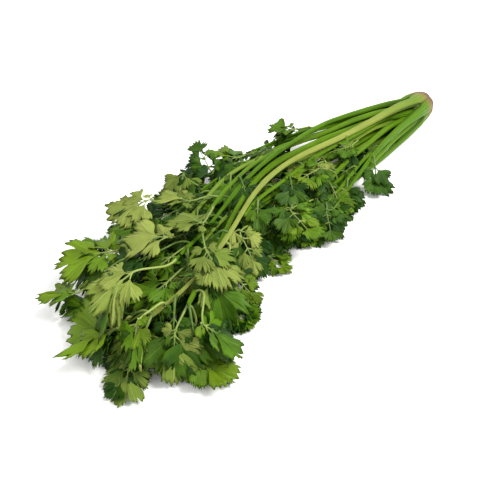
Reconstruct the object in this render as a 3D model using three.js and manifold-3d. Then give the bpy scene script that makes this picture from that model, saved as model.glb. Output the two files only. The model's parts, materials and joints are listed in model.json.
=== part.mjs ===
// A head of leaf celery lying on a flat surface: one crown, three whorls of stalks and their leaves.
// Millimetres, +Z up. +X runs from the cut crown to the leaf tips. The origin is the middle of the
// underside of the bounding box, so the head rests on the plane Z = 0.
import * as THREE from "three";
import Module from "manifold-3d";

const wasm = await Module();
wasm.setup();

// ---- Driving sizes ----
const REACH = 500; // length that the stalk routes and leaf places are shares of
const CLEARANCE = 0.3; // gap between any two pieces

const CROWN_WIDTH = 39; // across the feet of the outer stalks
const CROWN_LENGTH = 34; // from the cut face to where the stalks part
const CUT_WIDTH = 27; // across the cut face
const CROWN_FLUTING = 0.07; // how deep the grooves between stalk feet are, as a share of the radius
const COLUMNS_PER_FLUTE = 4;
const CROWN_SIDE = -8; // where the crown lies across the head

const OUTER_FIRST_TURN = 80; // degrees round the crown, from +Y towards +Z
const INNER_FIRST_TURN = 105;
const OUTER_DEPTH = 8.2; // thickness of an outer stalk from back to channel
const INNER_DEPTH = 5.8;
const HEART_FILL = 0.7; // share of the room inside the inner whorl that the heart stalk takes up
const FOOT_FILL = 0.88; // share of the room between its neighbours that a stalk foot takes up
const FOOT_TAPER = 60; // over which a stalk narrows from its foot to its own width
const TAPER_CURVE = 1.5; // 1 is an even taper to the end, more keeps a stalk wide for longer
const STALK_FLATNESS = 0.8; // depth of a stalk as a share of its width, past the foot

const LEAF_LENGTH = 46; // from the lowest leaflets' joint to the tip, on a full-sized leaf
const LEAF_WIDTH = 46; // across the lowest pair of leaflets
const LEAF_THICKNESS = 1; // blade
const MIDRIB_HEIGHT = 0.5; // how far the midrib stands out under the blade
const LEAF_STEM = 2.2; // across the stem of a leaf
const STEM_DEPTH = 0.7; // depth of the stem, and of the rib under it, as shares of its width
const STEM_RIB = 0.15;
const LEAF_SAG = 0.16; // how far the blade's margins hang, as a share of the half width
const LEAF_ARCH = 0.1; // how far the middle of the blade rises, as a share of its length

// ---- How the stalks and leaves are laid out ----
const STATION = 11; // spacing of the sections at which the stalks are settled
const CURVE_STEPS = 40; // points for each stretch of a route, to read it at a station
const RING_EVERY = 2; // a stalk has one ring of vertices for so many stations
const SETTLE_PASSES = 160; // rounds of pushing the stalks apart
const SETTLE_GAP = 0.7; // air between two stalks
const SLOPE_ALLOWANCE = 1.08; // a leaning stalk's section is longer across the head than its width
const PULL = 0.05; // how strongly a stalk keeps to its route, for one pass
const SMOOTHING = 0.25;
const SHAPING_SHARE = 0.7; // share of the passes that pull and smooth as well as push
const LIFT_STEP = 2; // a leaf in the way of another moves up or down by this
const LIFT_LIMIT = 60;
const SWING_STEP = 15; // or swings to a side, in degrees
const SWING_LIMIT = 75;
const STEM_TURN_STEP = 35; // or leaves its stalk on another side, in degrees round the stalk
const STEM_TURN_LIMIT = 175;
const SLIDE_STEP = 12; // or leaves it further up or down, along the stalk
const SLIDE_LIMIT = 24;
const SWING_COST = 0.25; // a degree of swing counts as so many millimetres of lift
const TURN_COST = 0.06;
const SLIDE_COST = 0.5;
const STEM_START = 0.9; // from the stalk's skin to the end of the leaf's stem
const STEM_REACH = 4; // the stem leaves its stalk square over this length
const LEAST_OVERLAP = 1e-6; // cubic millimetres

// Section of a stalk: a kidney with its channel towards the middle of the head, as shares of the
// half width and half depth, counter-clockwise when seen from the leaf end.
const STALK_SECTION = [
  [0, 0.42],
  [-0.6, 1],
  [-1, 0.15],
  [-0.7, -0.72],
  [0, -1],
  [0.7, -0.72],
  [1, 0.15],
  [0.6, 1],
];

// Blade outline: [share of the blade's length, share of the half width].
const BLADE_OUTLINE = [
  [0.02, 0.12],
  [0.17, 0.78],
  [0.33, 1],
  [0.49, 0.62],
  [0.66, 0.68],
  [0.83, 0.5],
  [0.95, 0.2],
];
const STEM_RINGS = [0.02, 0.25, 0.55, 0.85]; // shares of the stem's length

// Section of a leaf: [share of the half width, 1 above and -1 below, 1 on the midrib], with an edge,
// two quarters and the middle above, then the other edge, two quarters and the midrib below. The
// lower quarters stand closer to the midrib than the upper ones do.
const LEAF_SECTION = [
  [0, 1, 0],
  [-0.55, 1, 0],
  [-1, 0, 0],
  [-0.3, -1, 0],
  [0, -1, 1],
  [0.3, -1, 0],
  [1, 0, 0],
  [0.55, 1, 0],
];

// Outline of the crown: [share of its length, radius as a share of the cut's radius], before the end.
const CROWN_OUTLINE = [
  [0, 0.94],
  [0.06, 1],
  [0.3, 1.12],
  [0.65, 1.36],
];

// Where each whorl's stalks run: [share of REACH, across, height] past the crown, then the leaves.
// leaf: [at, x, y, z, heading, fall, size, side, roll]: at and x are shares of REACH, heading is
// degrees from +X towards +Y, fall is degrees below level, side is 1 with the upper side up and -1
// with the underside up. The first leaf ends the stalk.
const OUTER = [
  {
    width: 9.6,
    end: 4.2,
    route: [[0.13, -12, 35], [0.33, -17, 40], [0.49, -24, 46], [0.635, -7, 54], [0.73, 14, 56], [0.8, 22, 50],
      [0.86, 23, 42], [0.905, 15, 34]],
    leaves: [
      [1, 0.942, 3, 30, -63, 27, 1.15, 1, 0],
      [0.86, 0.926, 10, 32, 9, 42, 0.85, -1, 0],
      [0.88, 0.93, 17, 26, 15, 50, 0.8, 1, 35],
      [0.87, 0.956, 19, 16, 31, 31, 0.85, -1, 0],
      [0.89, 0.936, -2, 28, -56, 20, 0.7, 1, 0],
      [0.75, 0.82, 26, 46, 110, 62, 0.95, -1, 0],
    ],
  },
  {
    width: 10.4,
    end: 4.6,
    route: [[0.128, -29, 33], [0.272, -41, 38], [0.454, -44, 44], [0.572, -37, 46], [0.632, -28, 44],
      [0.72, -14, 44], [0.82, -3, 46]],
    leaves: [
      [1, 0.888, -5, 58, -21, 27, 1, -1, 0],
      [0.76, 0.834, -21, 46, -51, 31, 0.8, 1, 0],
      [0.78, 0.846, 4, 40, -29, 23, 0.8, 1, 0],
      [0.64, 0.71, -45, 44, -39, 24, 0.95, 1, 0],
    ],
  },
  {
    width: 8.6,
    end: 3.6,
    route: [[0.14, -40, 22], [0.28, -68, 22], [0.4, -84, 22], [0.52, -92, 20], [0.6, -94, 20]],
    leaves: [
      [1, 0.626, -86, 44, 20, 45, 0.8, -1, 0],
      [0.28, 0.336, -68, 34, -60, 5, 0.7, 1, 0],
      [0.44, 0.49, -80, 28, -70, 4, 0.85, 1, 0],
      [0.52, 0.568, -80, 32, -110, -25, 0.85, 1, 0],
      [0.56, 0.602, -78, 28, -90, 8, 0.9, 1, 15],
      [0.57, 0.62, -88, 10, -80, 4, 0.9, 1, 0],
    ],
  },
  {
    width: 9,
    end: 4,
    route: [[0.14, -36, 9], [0.3, -60, 8], [0.48, -72, 8], [0.64, -72, 12], [0.78, -64, 20]],
    leaves: [
      [1, 0.842, -55, 36, -54, 16, 1.15, 1, 0],
      [0.74, 0.844, -60, 34, -112, 11, 0.85, 1, 0],
      [0.68, 0.734, -72, 48, -36, 21, 0.95, -1, 0],
      [0.64, 0.72, -78, 8, -60, 3, 1, 1, 0],
    ],
  },
  {
    width: 9,
    end: 4,
    route: [[0.14, -14, 6], [0.32, -22, 6], [0.52, -26, 7], [0.7, -18, 9], [0.82, -6, 12]],
    leaves: [
      [1, 0.86, 6, 9, 12, 3, 1, 1, 0],
      [0.74, 0.8, -34, 9, -20, 3, 1, 1, 0],
      [0.68, 0.76, 26, 9, 60, 3, 1, 1, 0],
      [0.66, 0.745, 18, 22, 100, 25, 0.95, 1, 0],
    ],
  },
  {
    width: 8.6,
    end: 3.6,
    route: [[0.13, 5, 7], [0.26, 8, 6], [0.4, 9, 6], [0.5, 9, 8]],
    leaves: [
      [1, 0.544, 10, 20, 58, 38, 1, 1, 0],
      [0.45, 0.57, 8, 10, 70, 12, 0.95, 1, 0],
    ],
  },
  {
    width: 8,
    end: 3.4,
    route: [[0.146, 6, 27], [0.278, 12, 28], [0.38, 19, 22], [0.43, 22, 16], [0.47, 24, 13]],
    leaves: [
      [1, 0.508, 26, 12, 30, 20, 0.85, 1, 0],
      [0.41, 0.456, 12, 15, 100, 20, 0.85, 1, 0],
    ],
  },
];
const INNER = [
  {
    width: 7.6,
    end: 3.8,
    route: [[0.2, -28, 36], [0.376, -46, 38], [0.5, -47, 44], [0.582, -40, 48], [0.66, -31, 50],
      [0.72, -18, 51], [0.77, 0, 51]],
    leaves: [
      [1, 0.79, 13, 52, 70, 22, 0.85, -1, 0],
      [0.66, 0.702, -44, 47, -77, 10, 0.75, -1, 0],
      [0.7, 0.752, -6, 50, -99, 12, 0.8, -1, 0],
    ],
  },
  {
    width: 6.8,
    end: 3.6,
    route: [[0.2, -36, 25], [0.4, -66, 27], [0.58, -72, 29], [0.76, -54, 31], [0.86, -46, 27]],
    leaves: [
      [1, 0.926, -49, 26, -83, 28, 0.95, 1, 0],
      [0.82, 0.9, -40, 9, -40, 3, 1, 1, 0],
    ],
  },
  {
    width: 6.8,
    end: 3.6,
    route: [[0.2, -18, 14], [0.4, -28, 15], [0.6, -32, 22], [0.74, -30, 34]],
    leaves: [
      [1, 0.798, -18, 53, -66, 9, 0.95, -1, 0],
      [0.7, 0.812, -10, 44, -6, 27, 0.7, 1, 0],
    ],
  },
  {
    width: 6.6,
    end: 3.4,
    route: [[0.2, 2, 17], [0.356, 3, 16], [0.508, 4, 14], [0.62, 3, 15]],
    leaves: [
      [1, 0.672, -2, 20, 67, 30, 1, 1, 0],
      [0.6, 0.64, 9, 12, 51, 14, 0.9, 1, 0],
      [0.49, 0.54, 1, 25, 18, 14, 0.95, 1, 0],
      [0.38, 0.442, -3, 25, -16, 12, 0.9, 1, 0],
    ],
  },
  {
    width: 7.4,
    end: 4,
    route: [[0.25, -28, 32], [0.404, -37, 36], [0.47, -42, 38], [0.55, -36, 39], [0.648, -17, 41],
      [0.724, 1, 43], [0.832, 25, 41], [0.885, 32, 35]],
    leaves: [
      [1, 0.902, 36, 33, 34, 57, 0.95, -1, 0],
      [0.83, 0.874, 47, 36, 128, 46, 0.95, 1, 0],
      [0.86, 0.9, 51, 14, 96, 20, 0.8, 1, 0],
      [0.74, 0.804, 14, 46, -22, 8, 0.8, -1, 0],
    ],
  },
];
const HEART = [
  {
    width: 6.4,
    end: 3.4,
    route: [[0.2, -15, 28], [0.31, -15, 28], [0.39, -18, 26], [0.52, -16, 22], [0.62, -8, 23]],
    leaves: [
      [1, 0.69, 3, 38, 75, 45, 0.95, -1, 0],
      [0.27, 0.33, -5, 33, -35, 12, 0.8, 1, 0],
      [0.36, 0.41, -10, 30, -30, 14, 0.85, -1, 0],
    ],
  },
];

const UP = new THREE.Vector3(0, 0, 1);
const crownHeight = CROWN_WIDTH / 2 + CLEARANCE;
const firstStation = CROWN_LENGTH + CLEARANCE;

// ---- Shared geometry ----

// Closed solid through rings that have as many vertices each, with a pole at either end. Each ring
// runs counter-clockwise when seen from the end pole.
function loft(startPole, rings, endPole) {
  const count = rings[0].length;
  const last = rings.length - 1;
  const points = [startPole, ...rings.flat(), endPole];
  const at = (ring, i) => 1 + ring * count + (i % count);
  const faces = [];
  for (let i = 0; i < count; i++) {
    faces.push(0, at(0, i + 1), at(0, i));
    for (let ring = 0; ring < last; ring++) {
      faces.push(at(ring, i), at(ring, i + 1), at(ring + 1, i + 1));
      faces.push(at(ring, i), at(ring + 1, i + 1), at(ring + 1, i));
    }
    faces.push(points.length - 1, at(last, i), at(last, i + 1));
  }
  const geometry = new THREE.BufferGeometry().setFromPoints(points);
  geometry.setIndex(faces);
  geometry.computeVertexNormals();
  return geometry;
}

function solidOf(geometry) {
  const vertProperties = new Float32Array(geometry.getAttribute("position").array);
  const triVerts = new Uint32Array(geometry.index.array);
  return new wasm.Manifold(new wasm.Mesh({ numProp: 3, vertProperties, triVerts }));
}

function meshOf(name, geometry, color, roughness) {
  const material = new THREE.MeshStandardMaterial({ color, roughness, metalness: 0 });
  const mesh = new THREE.Mesh(geometry, material);
  mesh.name = name;
  return mesh;
}

// The part of vector that is square to unit, at length 1.
function squareTo(unit, vector) {
  return vector.clone().addScaledVector(unit, -vector.dot(unit)).normalize();
}

// ---- Crown ----

// Root stock: a fluted bell, one flute to each outer stalk, flat at the cut and where the stalks part.
function crownGeometry() {
  const outline = [...CROWN_OUTLINE, [1, CROWN_WIDTH / CUT_WIDTH]];
  const columns = OUTER.length * COLUMNS_PER_FLUTE;
  const rings = outline.map(([along, wide]) => {
    const ring = [];
    for (let i = 0; i < columns; i++) {
      const turn = (2 * Math.PI * i) / columns;
      const flute = CROWN_FLUTING * along * Math.sin((i * Math.PI) / COLUMNS_PER_FLUTE) ** 2;
      const radius = (CUT_WIDTH / 2) * wide * (1 - flute);
      const angle = turn + THREE.MathUtils.degToRad(OUTER_FIRST_TURN);
      const y = CROWN_SIDE + radius * Math.cos(angle);
      ring.push(new THREE.Vector3(along * CROWN_LENGTH, y, crownHeight + radius * Math.sin(angle)));
    }
    return ring;
  });
  const start = new THREE.Vector3(0, CROWN_SIDE, crownHeight);
  const end = new THREE.Vector3(CROWN_LENGTH, CROWN_SIDE, crownHeight);
  return loft(start, rings, end);
}

// ---- Stalks ----

// Half the width of a foot that fills its share of the room between its neighbours in the whorl.
function footHalfWidth(radius, depth, step) {
  const sides = STALK_SECTION.filter(([wide]) => wide > 0);
  const room = sides.map(([wide, high]) => ((radius - (high * depth) / 2) * Math.tan(step / 2)) / wide);
  return Math.min(...room) * FOOT_FILL;
}

// Names, widths and places of one whorl's feet, in a ring at radius round the crown's axis.
function whorl(name, rows, radius, depth, firstTurn) {
  const step = (2 * Math.PI) / rows.length;
  return rows.map((row, i) => {
    const turn = THREE.MathUtils.degToRad(firstTurn) + i * step;
    const foot = new THREE.Vector3(firstStation, 0, 0);
    foot.y = CROWN_SIDE + radius * Math.cos(turn);
    foot.z = crownHeight + radius * Math.sin(turn);
    const inward = new THREE.Vector3(0, -Math.cos(turn), -Math.sin(turn));
    const alone = rows.length === 1;
    const footWidth = alone ? depth / STALK_FLATNESS : 2 * footHalfWidth(radius, depth, step);
    const stalkName = name + (alone ? "_stalk" : "_stalk_" + (i + 1));
    return { ...row, name: stalkName, foot, inward, footWidth, footDepth: depth };
  });
}

function allStalks() {
  const outerRadius = (CROWN_WIDTH - OUTER_DEPTH) / 2 - CLEARANCE;
  const innerRadius = outerRadius - (OUTER_DEPTH + INNER_DEPTH) / 2 - SETTLE_GAP;
  const heartRoom = 2 * innerRadius - INNER_DEPTH - 2 * SETTLE_GAP;
  return [
    ...whorl("outer", OUTER, outerRadius, OUTER_DEPTH, OUTER_FIRST_TURN),
    ...whorl("inner", INNER, innerRadius, INNER_DEPTH, INNER_FIRST_TURN),
    ...whorl("heart", HEART, 0, heartRoom * HEART_FILL, INNER_FIRST_TURN),
  ];
}

// Stations of a stalk along X, at the same places for all stalks, each with its wanted place and its
// half width and half depth.
function stationsOf(stalk) {
  const points = [stalk.foot];
  for (const [x, y, z] of stalk.route) points.push(new THREE.Vector3(x * REACH, y, z));
  const curve = new THREE.CatmullRomCurve3(points, false, "centripetal");
  const fine = curve.getPoints(CURVE_STEPS * points.length);
  const end = points[points.length - 1].x;
  const count = Math.floor((end - firstStation) / STATION / RING_EVERY) * RING_EVERY;
  const stations = [];
  for (let k = 0; k <= count; k++) {
    const x = firstStation + k * STATION;
    const next = Math.max(1, fine.findIndex((point) => point.x >= x));
    const [a, b] = [fine[next - 1], fine[next]];
    const wanted = a.clone().lerp(b, (x - a.x) / (b.x - a.x));
    const body = THREE.MathUtils.lerp(stalk.width, stalk.end, (k / count) ** TAPER_CURVE);
    const foot = Math.max(0, 1 - (k * STATION) / FOOT_TAPER) ** 2;
    const halfWidth = THREE.MathUtils.lerp(body, stalk.footWidth, foot) / 2;
    const halfDepth = THREE.MathUtils.lerp(body * STALK_FLATNESS, stalk.footDepth, foot) / 2;
    stations.push({ place: wanted.clone(), wanted, halfWidth, halfDepth, inward: stalk.inward });
  }
  return stations;
}

// How far a stalk's section reaches from its middle in a direction across the head.
function reachOf(station, direction) {
  const deep = station.inward.dot(direction);
  const wide = Math.sqrt(Math.max(0, 1 - deep * deep));
  return Math.hypot(station.halfWidth * wide, station.halfDepth * deep) * SLOPE_ALLOWANCE;
}

// Pushes two stalks apart where their sections at one station would touch.
function pushApart(a, b) {
  const between = b.place.clone().sub(a.place).setX(0);
  const distance = between.length();
  if (distance < 1e-6) between.set(0, 1, 0);
  between.normalize();
  const missing = reachOf(a, between) + reachOf(b, between) + SETTLE_GAP - distance;
  if (missing <= 0) return;
  a.place.addScaledVector(between, -missing / 2);
  b.place.addScaledVector(between, missing / 2);
}

function keepOffFloor(station) {
  const lowest = reachOf(station, UP) + CLEARANCE;
  station.place.z = Math.max(station.place.z, lowest);
}

function shape(stations) {
  for (let k = 1; k < stations.length; k++) {
    const here = stations[k];
    here.place.lerp(here.wanted, PULL);
    if (k === stations.length - 1) continue;
    const middle = stations[k - 1].place.clone().add(stations[k + 1].place).multiplyScalar(0.5);
    here.place.y += (middle.y - here.place.y) * SMOOTHING;
    here.place.z += (middle.z - here.place.z) * SMOOTHING;
  }
}

// Lets the stalks find their places beside and on each other: routes pull, sections push.
function settle(stalks) {
  for (let pass = 0; pass < SETTLE_PASSES; pass++) {
    if (pass < SETTLE_PASSES * SHAPING_SHARE) stalks.forEach((stalk) => shape(stalk.stations));
    stalks.forEach((one, i) => {
      for (const other of stalks.slice(i + 1)) {
        const shared = Math.min(one.stations.length, other.stations.length);
        for (let k = 1; k < shared; k++) pushApart(one.stations[k], other.stations[k]);
      }
      one.stations.slice(1).forEach(keepOffFloor);
    });
  }
}

function tangentAt(stations, k) {
  const before = stations[Math.max(0, k - 1)].place;
  const after = stations[Math.min(stations.length - 1, k + 1)].place;
  return after.clone().sub(before).normalize();
}

function stalkGeometry(stations) {
  const rings = [];
  for (let k = 0; k < stations.length; k += RING_EVERY) {
    const { place, halfWidth, halfDepth, inward } = stations[k];
    const along = k === 0 ? new THREE.Vector3(1, 0, 0) : tangentAt(stations, k);
    const deep = squareTo(along, inward);
    const across = deep.clone().cross(along);
    rings.push(
      STALK_SECTION.map(([wide, high]) =>
        place.clone().addScaledVector(across, wide * halfWidth).addScaledVector(deep, high * halfDepth),
      ),
    );
  }
  const last = stations[stations.length - 1];
  const end = last.place.clone().addScaledVector(tangentAt(stations, stations.length - 1), last.halfDepth);
  return loft(stations[0].place.clone(), rings, end);
}

// ---- Leaves ----

// Where a leaf's stem starts on its stalk, and the way it sets out.
function stemStart(stalk, at, base, move) {
  const { stations } = stalk;
  const last = stations.length - 1;
  if (at >= 1) {
    const along = tangentAt(stations, last);
    const tip = stations[last].place.clone().addScaledVector(along, stations[last].halfDepth + STEM_START);
    return { start: tip, out: along };
  }
  const k = stations.findIndex((station) => station.wanted.x >= at * REACH + move.slide);
  const station = stations[k < 0 ? last : k];
  const along = tangentAt(stations, k < 0 ? last : k);
  const out = squareTo(along, base.clone().sub(station.place)).applyAxisAngle(along, move.turn);
  const skin = reachOf(station, squareTo(new THREE.Vector3(1, 0, 0), out)) + STEM_START;
  return { start: station.place.clone().addScaledVector(out, skin), out };
}

// The leaf's centre line: stem from its stalk, then the blade, arched and falling towards its tip.
function leafCurve(stalk, leaf, move) {
  const [at, x, y, z, heading, fall, size] = leaf;
  const base = new THREE.Vector3(x * REACH, y, z + move.lift);
  const { start, out } = stemStart(stalk, at, base, move);
  const plan = THREE.MathUtils.degToRad(heading + move.swing);
  const drop = THREE.MathUtils.degToRad(fall);
  const level = Math.cos(drop);
  const way = new THREE.Vector3(level * Math.cos(plan), level * Math.sin(plan), -Math.sin(drop));
  const length = LEAF_LENGTH * size;
  const middle = base.clone().addScaledVector(way, length / 2).addScaledVector(UP, LEAF_ARCH * length);
  const tip = base.clone().addScaledVector(way, length);
  const setOut = start.clone().addScaledVector(out, STEM_REACH);
  const stem = new THREE.CatmullRomCurve3([start, setOut, base], false, "centripetal");
  const blade = new THREE.QuadraticBezierCurve3(base, middle, tip);
  return { stem, blade };
}

// One ring of a leaf round place, with its margins hanging and nothing below the floor.
function leafRing(place, along, up, halfWidth, thickness, rib, sag) {
  const across = up.clone().cross(along);
  const ring = LEAF_SECTION.map(([wide, above, onRib]) =>
    place
      .clone()
      .addScaledVector(across, wide * halfWidth)
      .addScaledVector(up, (above * thickness) / 2 - onRib * rib)
      .addScaledVector(UP, -sag * halfWidth * wide * wide),
  );
  const lowest = Math.min(...ring.map((point) => point.z));
  if (lowest < CLEARANCE) ring.forEach((point) => (point.z += CLEARANCE - lowest));
  return ring;
}

// grow widens and thickens the leaf on every side, to test that it keeps its clearance.
function leafGeometry(curves, leaf, grow) {
  const [, , , , , , size, side, roll] = leaf;
  const level = curves.blade.v2.clone().sub(curves.blade.v0).setZ(0).normalize();
  const face = UP.clone().multiplyScalar(side).applyAxisAngle(level, THREE.MathUtils.degToRad(roll));
  const rings = [];
  const add = (curve, share, halfWidth, thickness, rib, sag) => {
    const along = curve.getTangentAt(share);
    const up = squareTo(along, face);
    const place = curve.getPointAt(share);
    rings.push(leafRing(place, along, up, halfWidth + grow, thickness + 2 * grow, rib, sag));
  };
  for (const share of STEM_RINGS) {
    add(curves.stem, share, LEAF_STEM / 2, LEAF_STEM * STEM_DEPTH, LEAF_STEM * STEM_RIB, 0);
  }
  for (const [share, wide] of BLADE_OUTLINE) {
    const halfWidth = Math.max((LEAF_WIDTH / 2) * size * wide, LEAF_STEM / 2);
    add(curves.blade, share, halfWidth, LEAF_THICKNESS, MIDRIB_HEIGHT, LEAF_SAG);
  }
  const start = curves.stem.getPointAt(0).addScaledVector(curves.stem.getTangentAt(0), -grow);
  const tip = curves.blade.getPointAt(1).addScaledVector(curves.blade.getTangentAt(1), grow);
  tip.z = Math.max(tip.z, CLEARANCE + LEAF_THICKNESS / 2);
  start.z = Math.max(start.z, CLEARANCE + LEAF_THICKNESS / 2);
  return loft(start, rings, tip);
}

function boxesMeet(a, b) {
  return [0, 1, 2].every((i) => a.min[i] <= b.max[i] && b.min[i] <= a.max[i]);
}

function isClear(geometry, placed) {
  const solid = solidOf(geometry);
  const box = solid.boundingBox();
  return placed.every((other) => {
    if (!boxesMeet(box, other.box)) return true;
    return solid.intersect(other.solid).volume() < LEAST_OVERLAP;
  });
}

// Every way a leaf may give way, the smallest first.
function waysToGive() {
  const steps = (step, limit) => {
    const values = [0];
    for (let value = step; value <= limit; value += step) values.push(-value, value);
    return values;
  };
  const ways = [];
  for (const lift of steps(LIFT_STEP, LIFT_LIMIT)) {
    for (const swing of steps(SWING_STEP, SWING_LIMIT)) {
      for (const degrees of steps(STEM_TURN_STEP, STEM_TURN_LIMIT)) {
        for (const slide of steps(SLIDE_STEP, SLIDE_LIMIT)) {
          const cost =
            Math.abs(lift) +
            Math.abs(swing) * SWING_COST +
            Math.abs(degrees) * TURN_COST +
            Math.abs(slide) * SLIDE_COST;
          ways.push({ lift, swing, turn: THREE.MathUtils.degToRad(degrees), slide, cost });
        }
      }
    }
  }
  return ways.sort((a, b) => a.cost - b.cost);
}

// Lays one leaf where it is wanted, or as close to that as it lies clear of what is there.
function layLeaf(stalk, leaf, placed, ways) {
  for (const move of ways) {
    if (leaf[3] + move.lift < 0) continue;
    const curves = leafCurve(stalk, leaf, move);
    if (isClear(leafGeometry(curves, leaf, CLEARANCE), placed)) return leafGeometry(curves, leaf, 0);
  }
  throw new Error("no clear place for a leaf of " + stalk.name);
}

// ---- The whole head ----

const CROWN_COLOR = 0xb7b36a;
const STALK_COLORS = { outer: 0x7fa32e, inner: 0x9db544, heart: 0xc0cf6c };
const LEAF_COLOR = 0x3f7a1c;
const UNDERSIDE_COLOR = 0x93a860;

function build() {
  const head = new THREE.Group();
  const placed = [];
  const put = (name, geometry, color, roughness) => {
    const solid = solidOf(geometry);
    placed.push({ solid, box: solid.boundingBox() });
    head.add(meshOf(name, geometry, color, roughness));
  };
  put("crown", crownGeometry(), CROWN_COLOR, 0.7);
  const stalks = allStalks();
  for (const stalk of stalks) stalk.stations = stationsOf(stalk);
  settle(stalks);
  for (const stalk of stalks) {
    put(stalk.name, stalkGeometry(stalk.stations), STALK_COLORS[stalk.name.split("_")[0]], 0.45);
  }
  // The leaves that end a stalk are laid first, because their stems can't move along it. Each lot is
  // laid from the top of the heap down, so that the upper ones keep their places.
  const leaves = stalks.flatMap((stalk) =>
    stalk.leaves.map((leaf, i) => {
      const name = stalk.name.replace("_stalk", "") + (i ? "_side_leaf_" + i : "_tip_leaf");
      return { stalk, leaf, name, rank: leaf[3] + (i ? 0 : REACH) };
    }),
  );
  leaves.sort((a, b) => b.rank - a.rank);
  const ways = waysToGive();
  for (const { stalk, leaf, name } of leaves) {
    put(name, layLeaf(stalk, leaf, placed, ways), leaf[7] > 0 ? LEAF_COLOR : UNDERSIDE_COLOR, 0.6);
  }
  return head;
}

// Moves the head so that the origin is the middle of the underside of its bounding box.
function centred(head) {
  const box = new THREE.Box3().setFromObject(head, true);
  const middle = box.getCenter(new THREE.Vector3());
  head.position.set(-middle.x, -middle.y, -box.min.z);
  return head;
}

const group = new THREE.Group();
group.add(centred(build()));
export default group;
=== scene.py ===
import json
import math
import random
import bpy
import numpy as np
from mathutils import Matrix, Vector

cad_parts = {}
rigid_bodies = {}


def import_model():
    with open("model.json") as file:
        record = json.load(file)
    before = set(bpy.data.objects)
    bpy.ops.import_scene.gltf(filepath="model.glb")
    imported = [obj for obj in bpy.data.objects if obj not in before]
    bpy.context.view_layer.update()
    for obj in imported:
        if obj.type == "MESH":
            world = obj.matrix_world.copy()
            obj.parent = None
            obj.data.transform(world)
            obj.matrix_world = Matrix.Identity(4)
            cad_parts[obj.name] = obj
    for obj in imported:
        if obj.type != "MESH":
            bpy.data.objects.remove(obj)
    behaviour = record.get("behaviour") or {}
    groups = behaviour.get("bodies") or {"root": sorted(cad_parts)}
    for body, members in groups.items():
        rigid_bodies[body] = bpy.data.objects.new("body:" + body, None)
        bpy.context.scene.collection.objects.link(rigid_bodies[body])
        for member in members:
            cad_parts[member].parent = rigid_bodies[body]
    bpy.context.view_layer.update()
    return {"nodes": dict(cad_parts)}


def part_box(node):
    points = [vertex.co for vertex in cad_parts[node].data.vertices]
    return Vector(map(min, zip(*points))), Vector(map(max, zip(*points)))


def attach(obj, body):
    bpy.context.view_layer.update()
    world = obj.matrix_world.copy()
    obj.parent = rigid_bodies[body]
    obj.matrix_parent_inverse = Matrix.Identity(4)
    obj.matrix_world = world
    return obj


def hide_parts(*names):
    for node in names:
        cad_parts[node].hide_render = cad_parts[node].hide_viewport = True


for leftover in list(bpy.data.objects):
    bpy.data.objects.remove(leftover)
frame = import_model()
chance = random.Random(11)


# ---------------------------------------------------------------------------------------------
# Root stock. The short stem at the foot of the head, cut straight through when it was lifted.
# It is solid flesh with a corky tan skin; the cut face has browned and dried in rings, with
# the paler ends of the strands in it, and the trimmed root ends stand round it.
# ---------------------------------------------------------------------------------------------
STOCK_OUTLINE = ((0.0, 0.67), (0.03, 0.72), (0.10, 0.76), (0.35, 0.80), (0.7, 0.83), (1.0, 0.84))
FACE_RINGS = (0.97, 0.9, 0.78, 0.62, 0.45, 0.28, 0.12)
FACE_EDGE = 0.97  # the cut face's radius beside that of the stock round it
DISH_DEPTH, DISH_RISE, DISH_MIDDLE = 0.025, 0.012, 0.026  # of the hollow face, by crown length
BROAD_FLUTES, FINE_FLUTES, WRINKLES = 7, 16, 31  # how many run round the stock
STOCK_SIDES = 112
BROWNED_LENGTH = 0.010  # how far the brown of the cut runs along the skin
RIM_WIDTH = (8.0, 11.5)  # millimetres from the middle over which the cut face darkens
ROOT_END_BAND = 0.0035  # root ends stand no further than this from the cut
ROOT_END_CLEAR = 0.46  # share of the crown's radius that is free of them

crown_low, crown_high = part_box("crown")
crown_middle = (crown_low + crown_high) / 2
crown_radius = (crown_high.z - crown_low.z) / 2
crown_length = crown_high.x - crown_low.x


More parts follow.
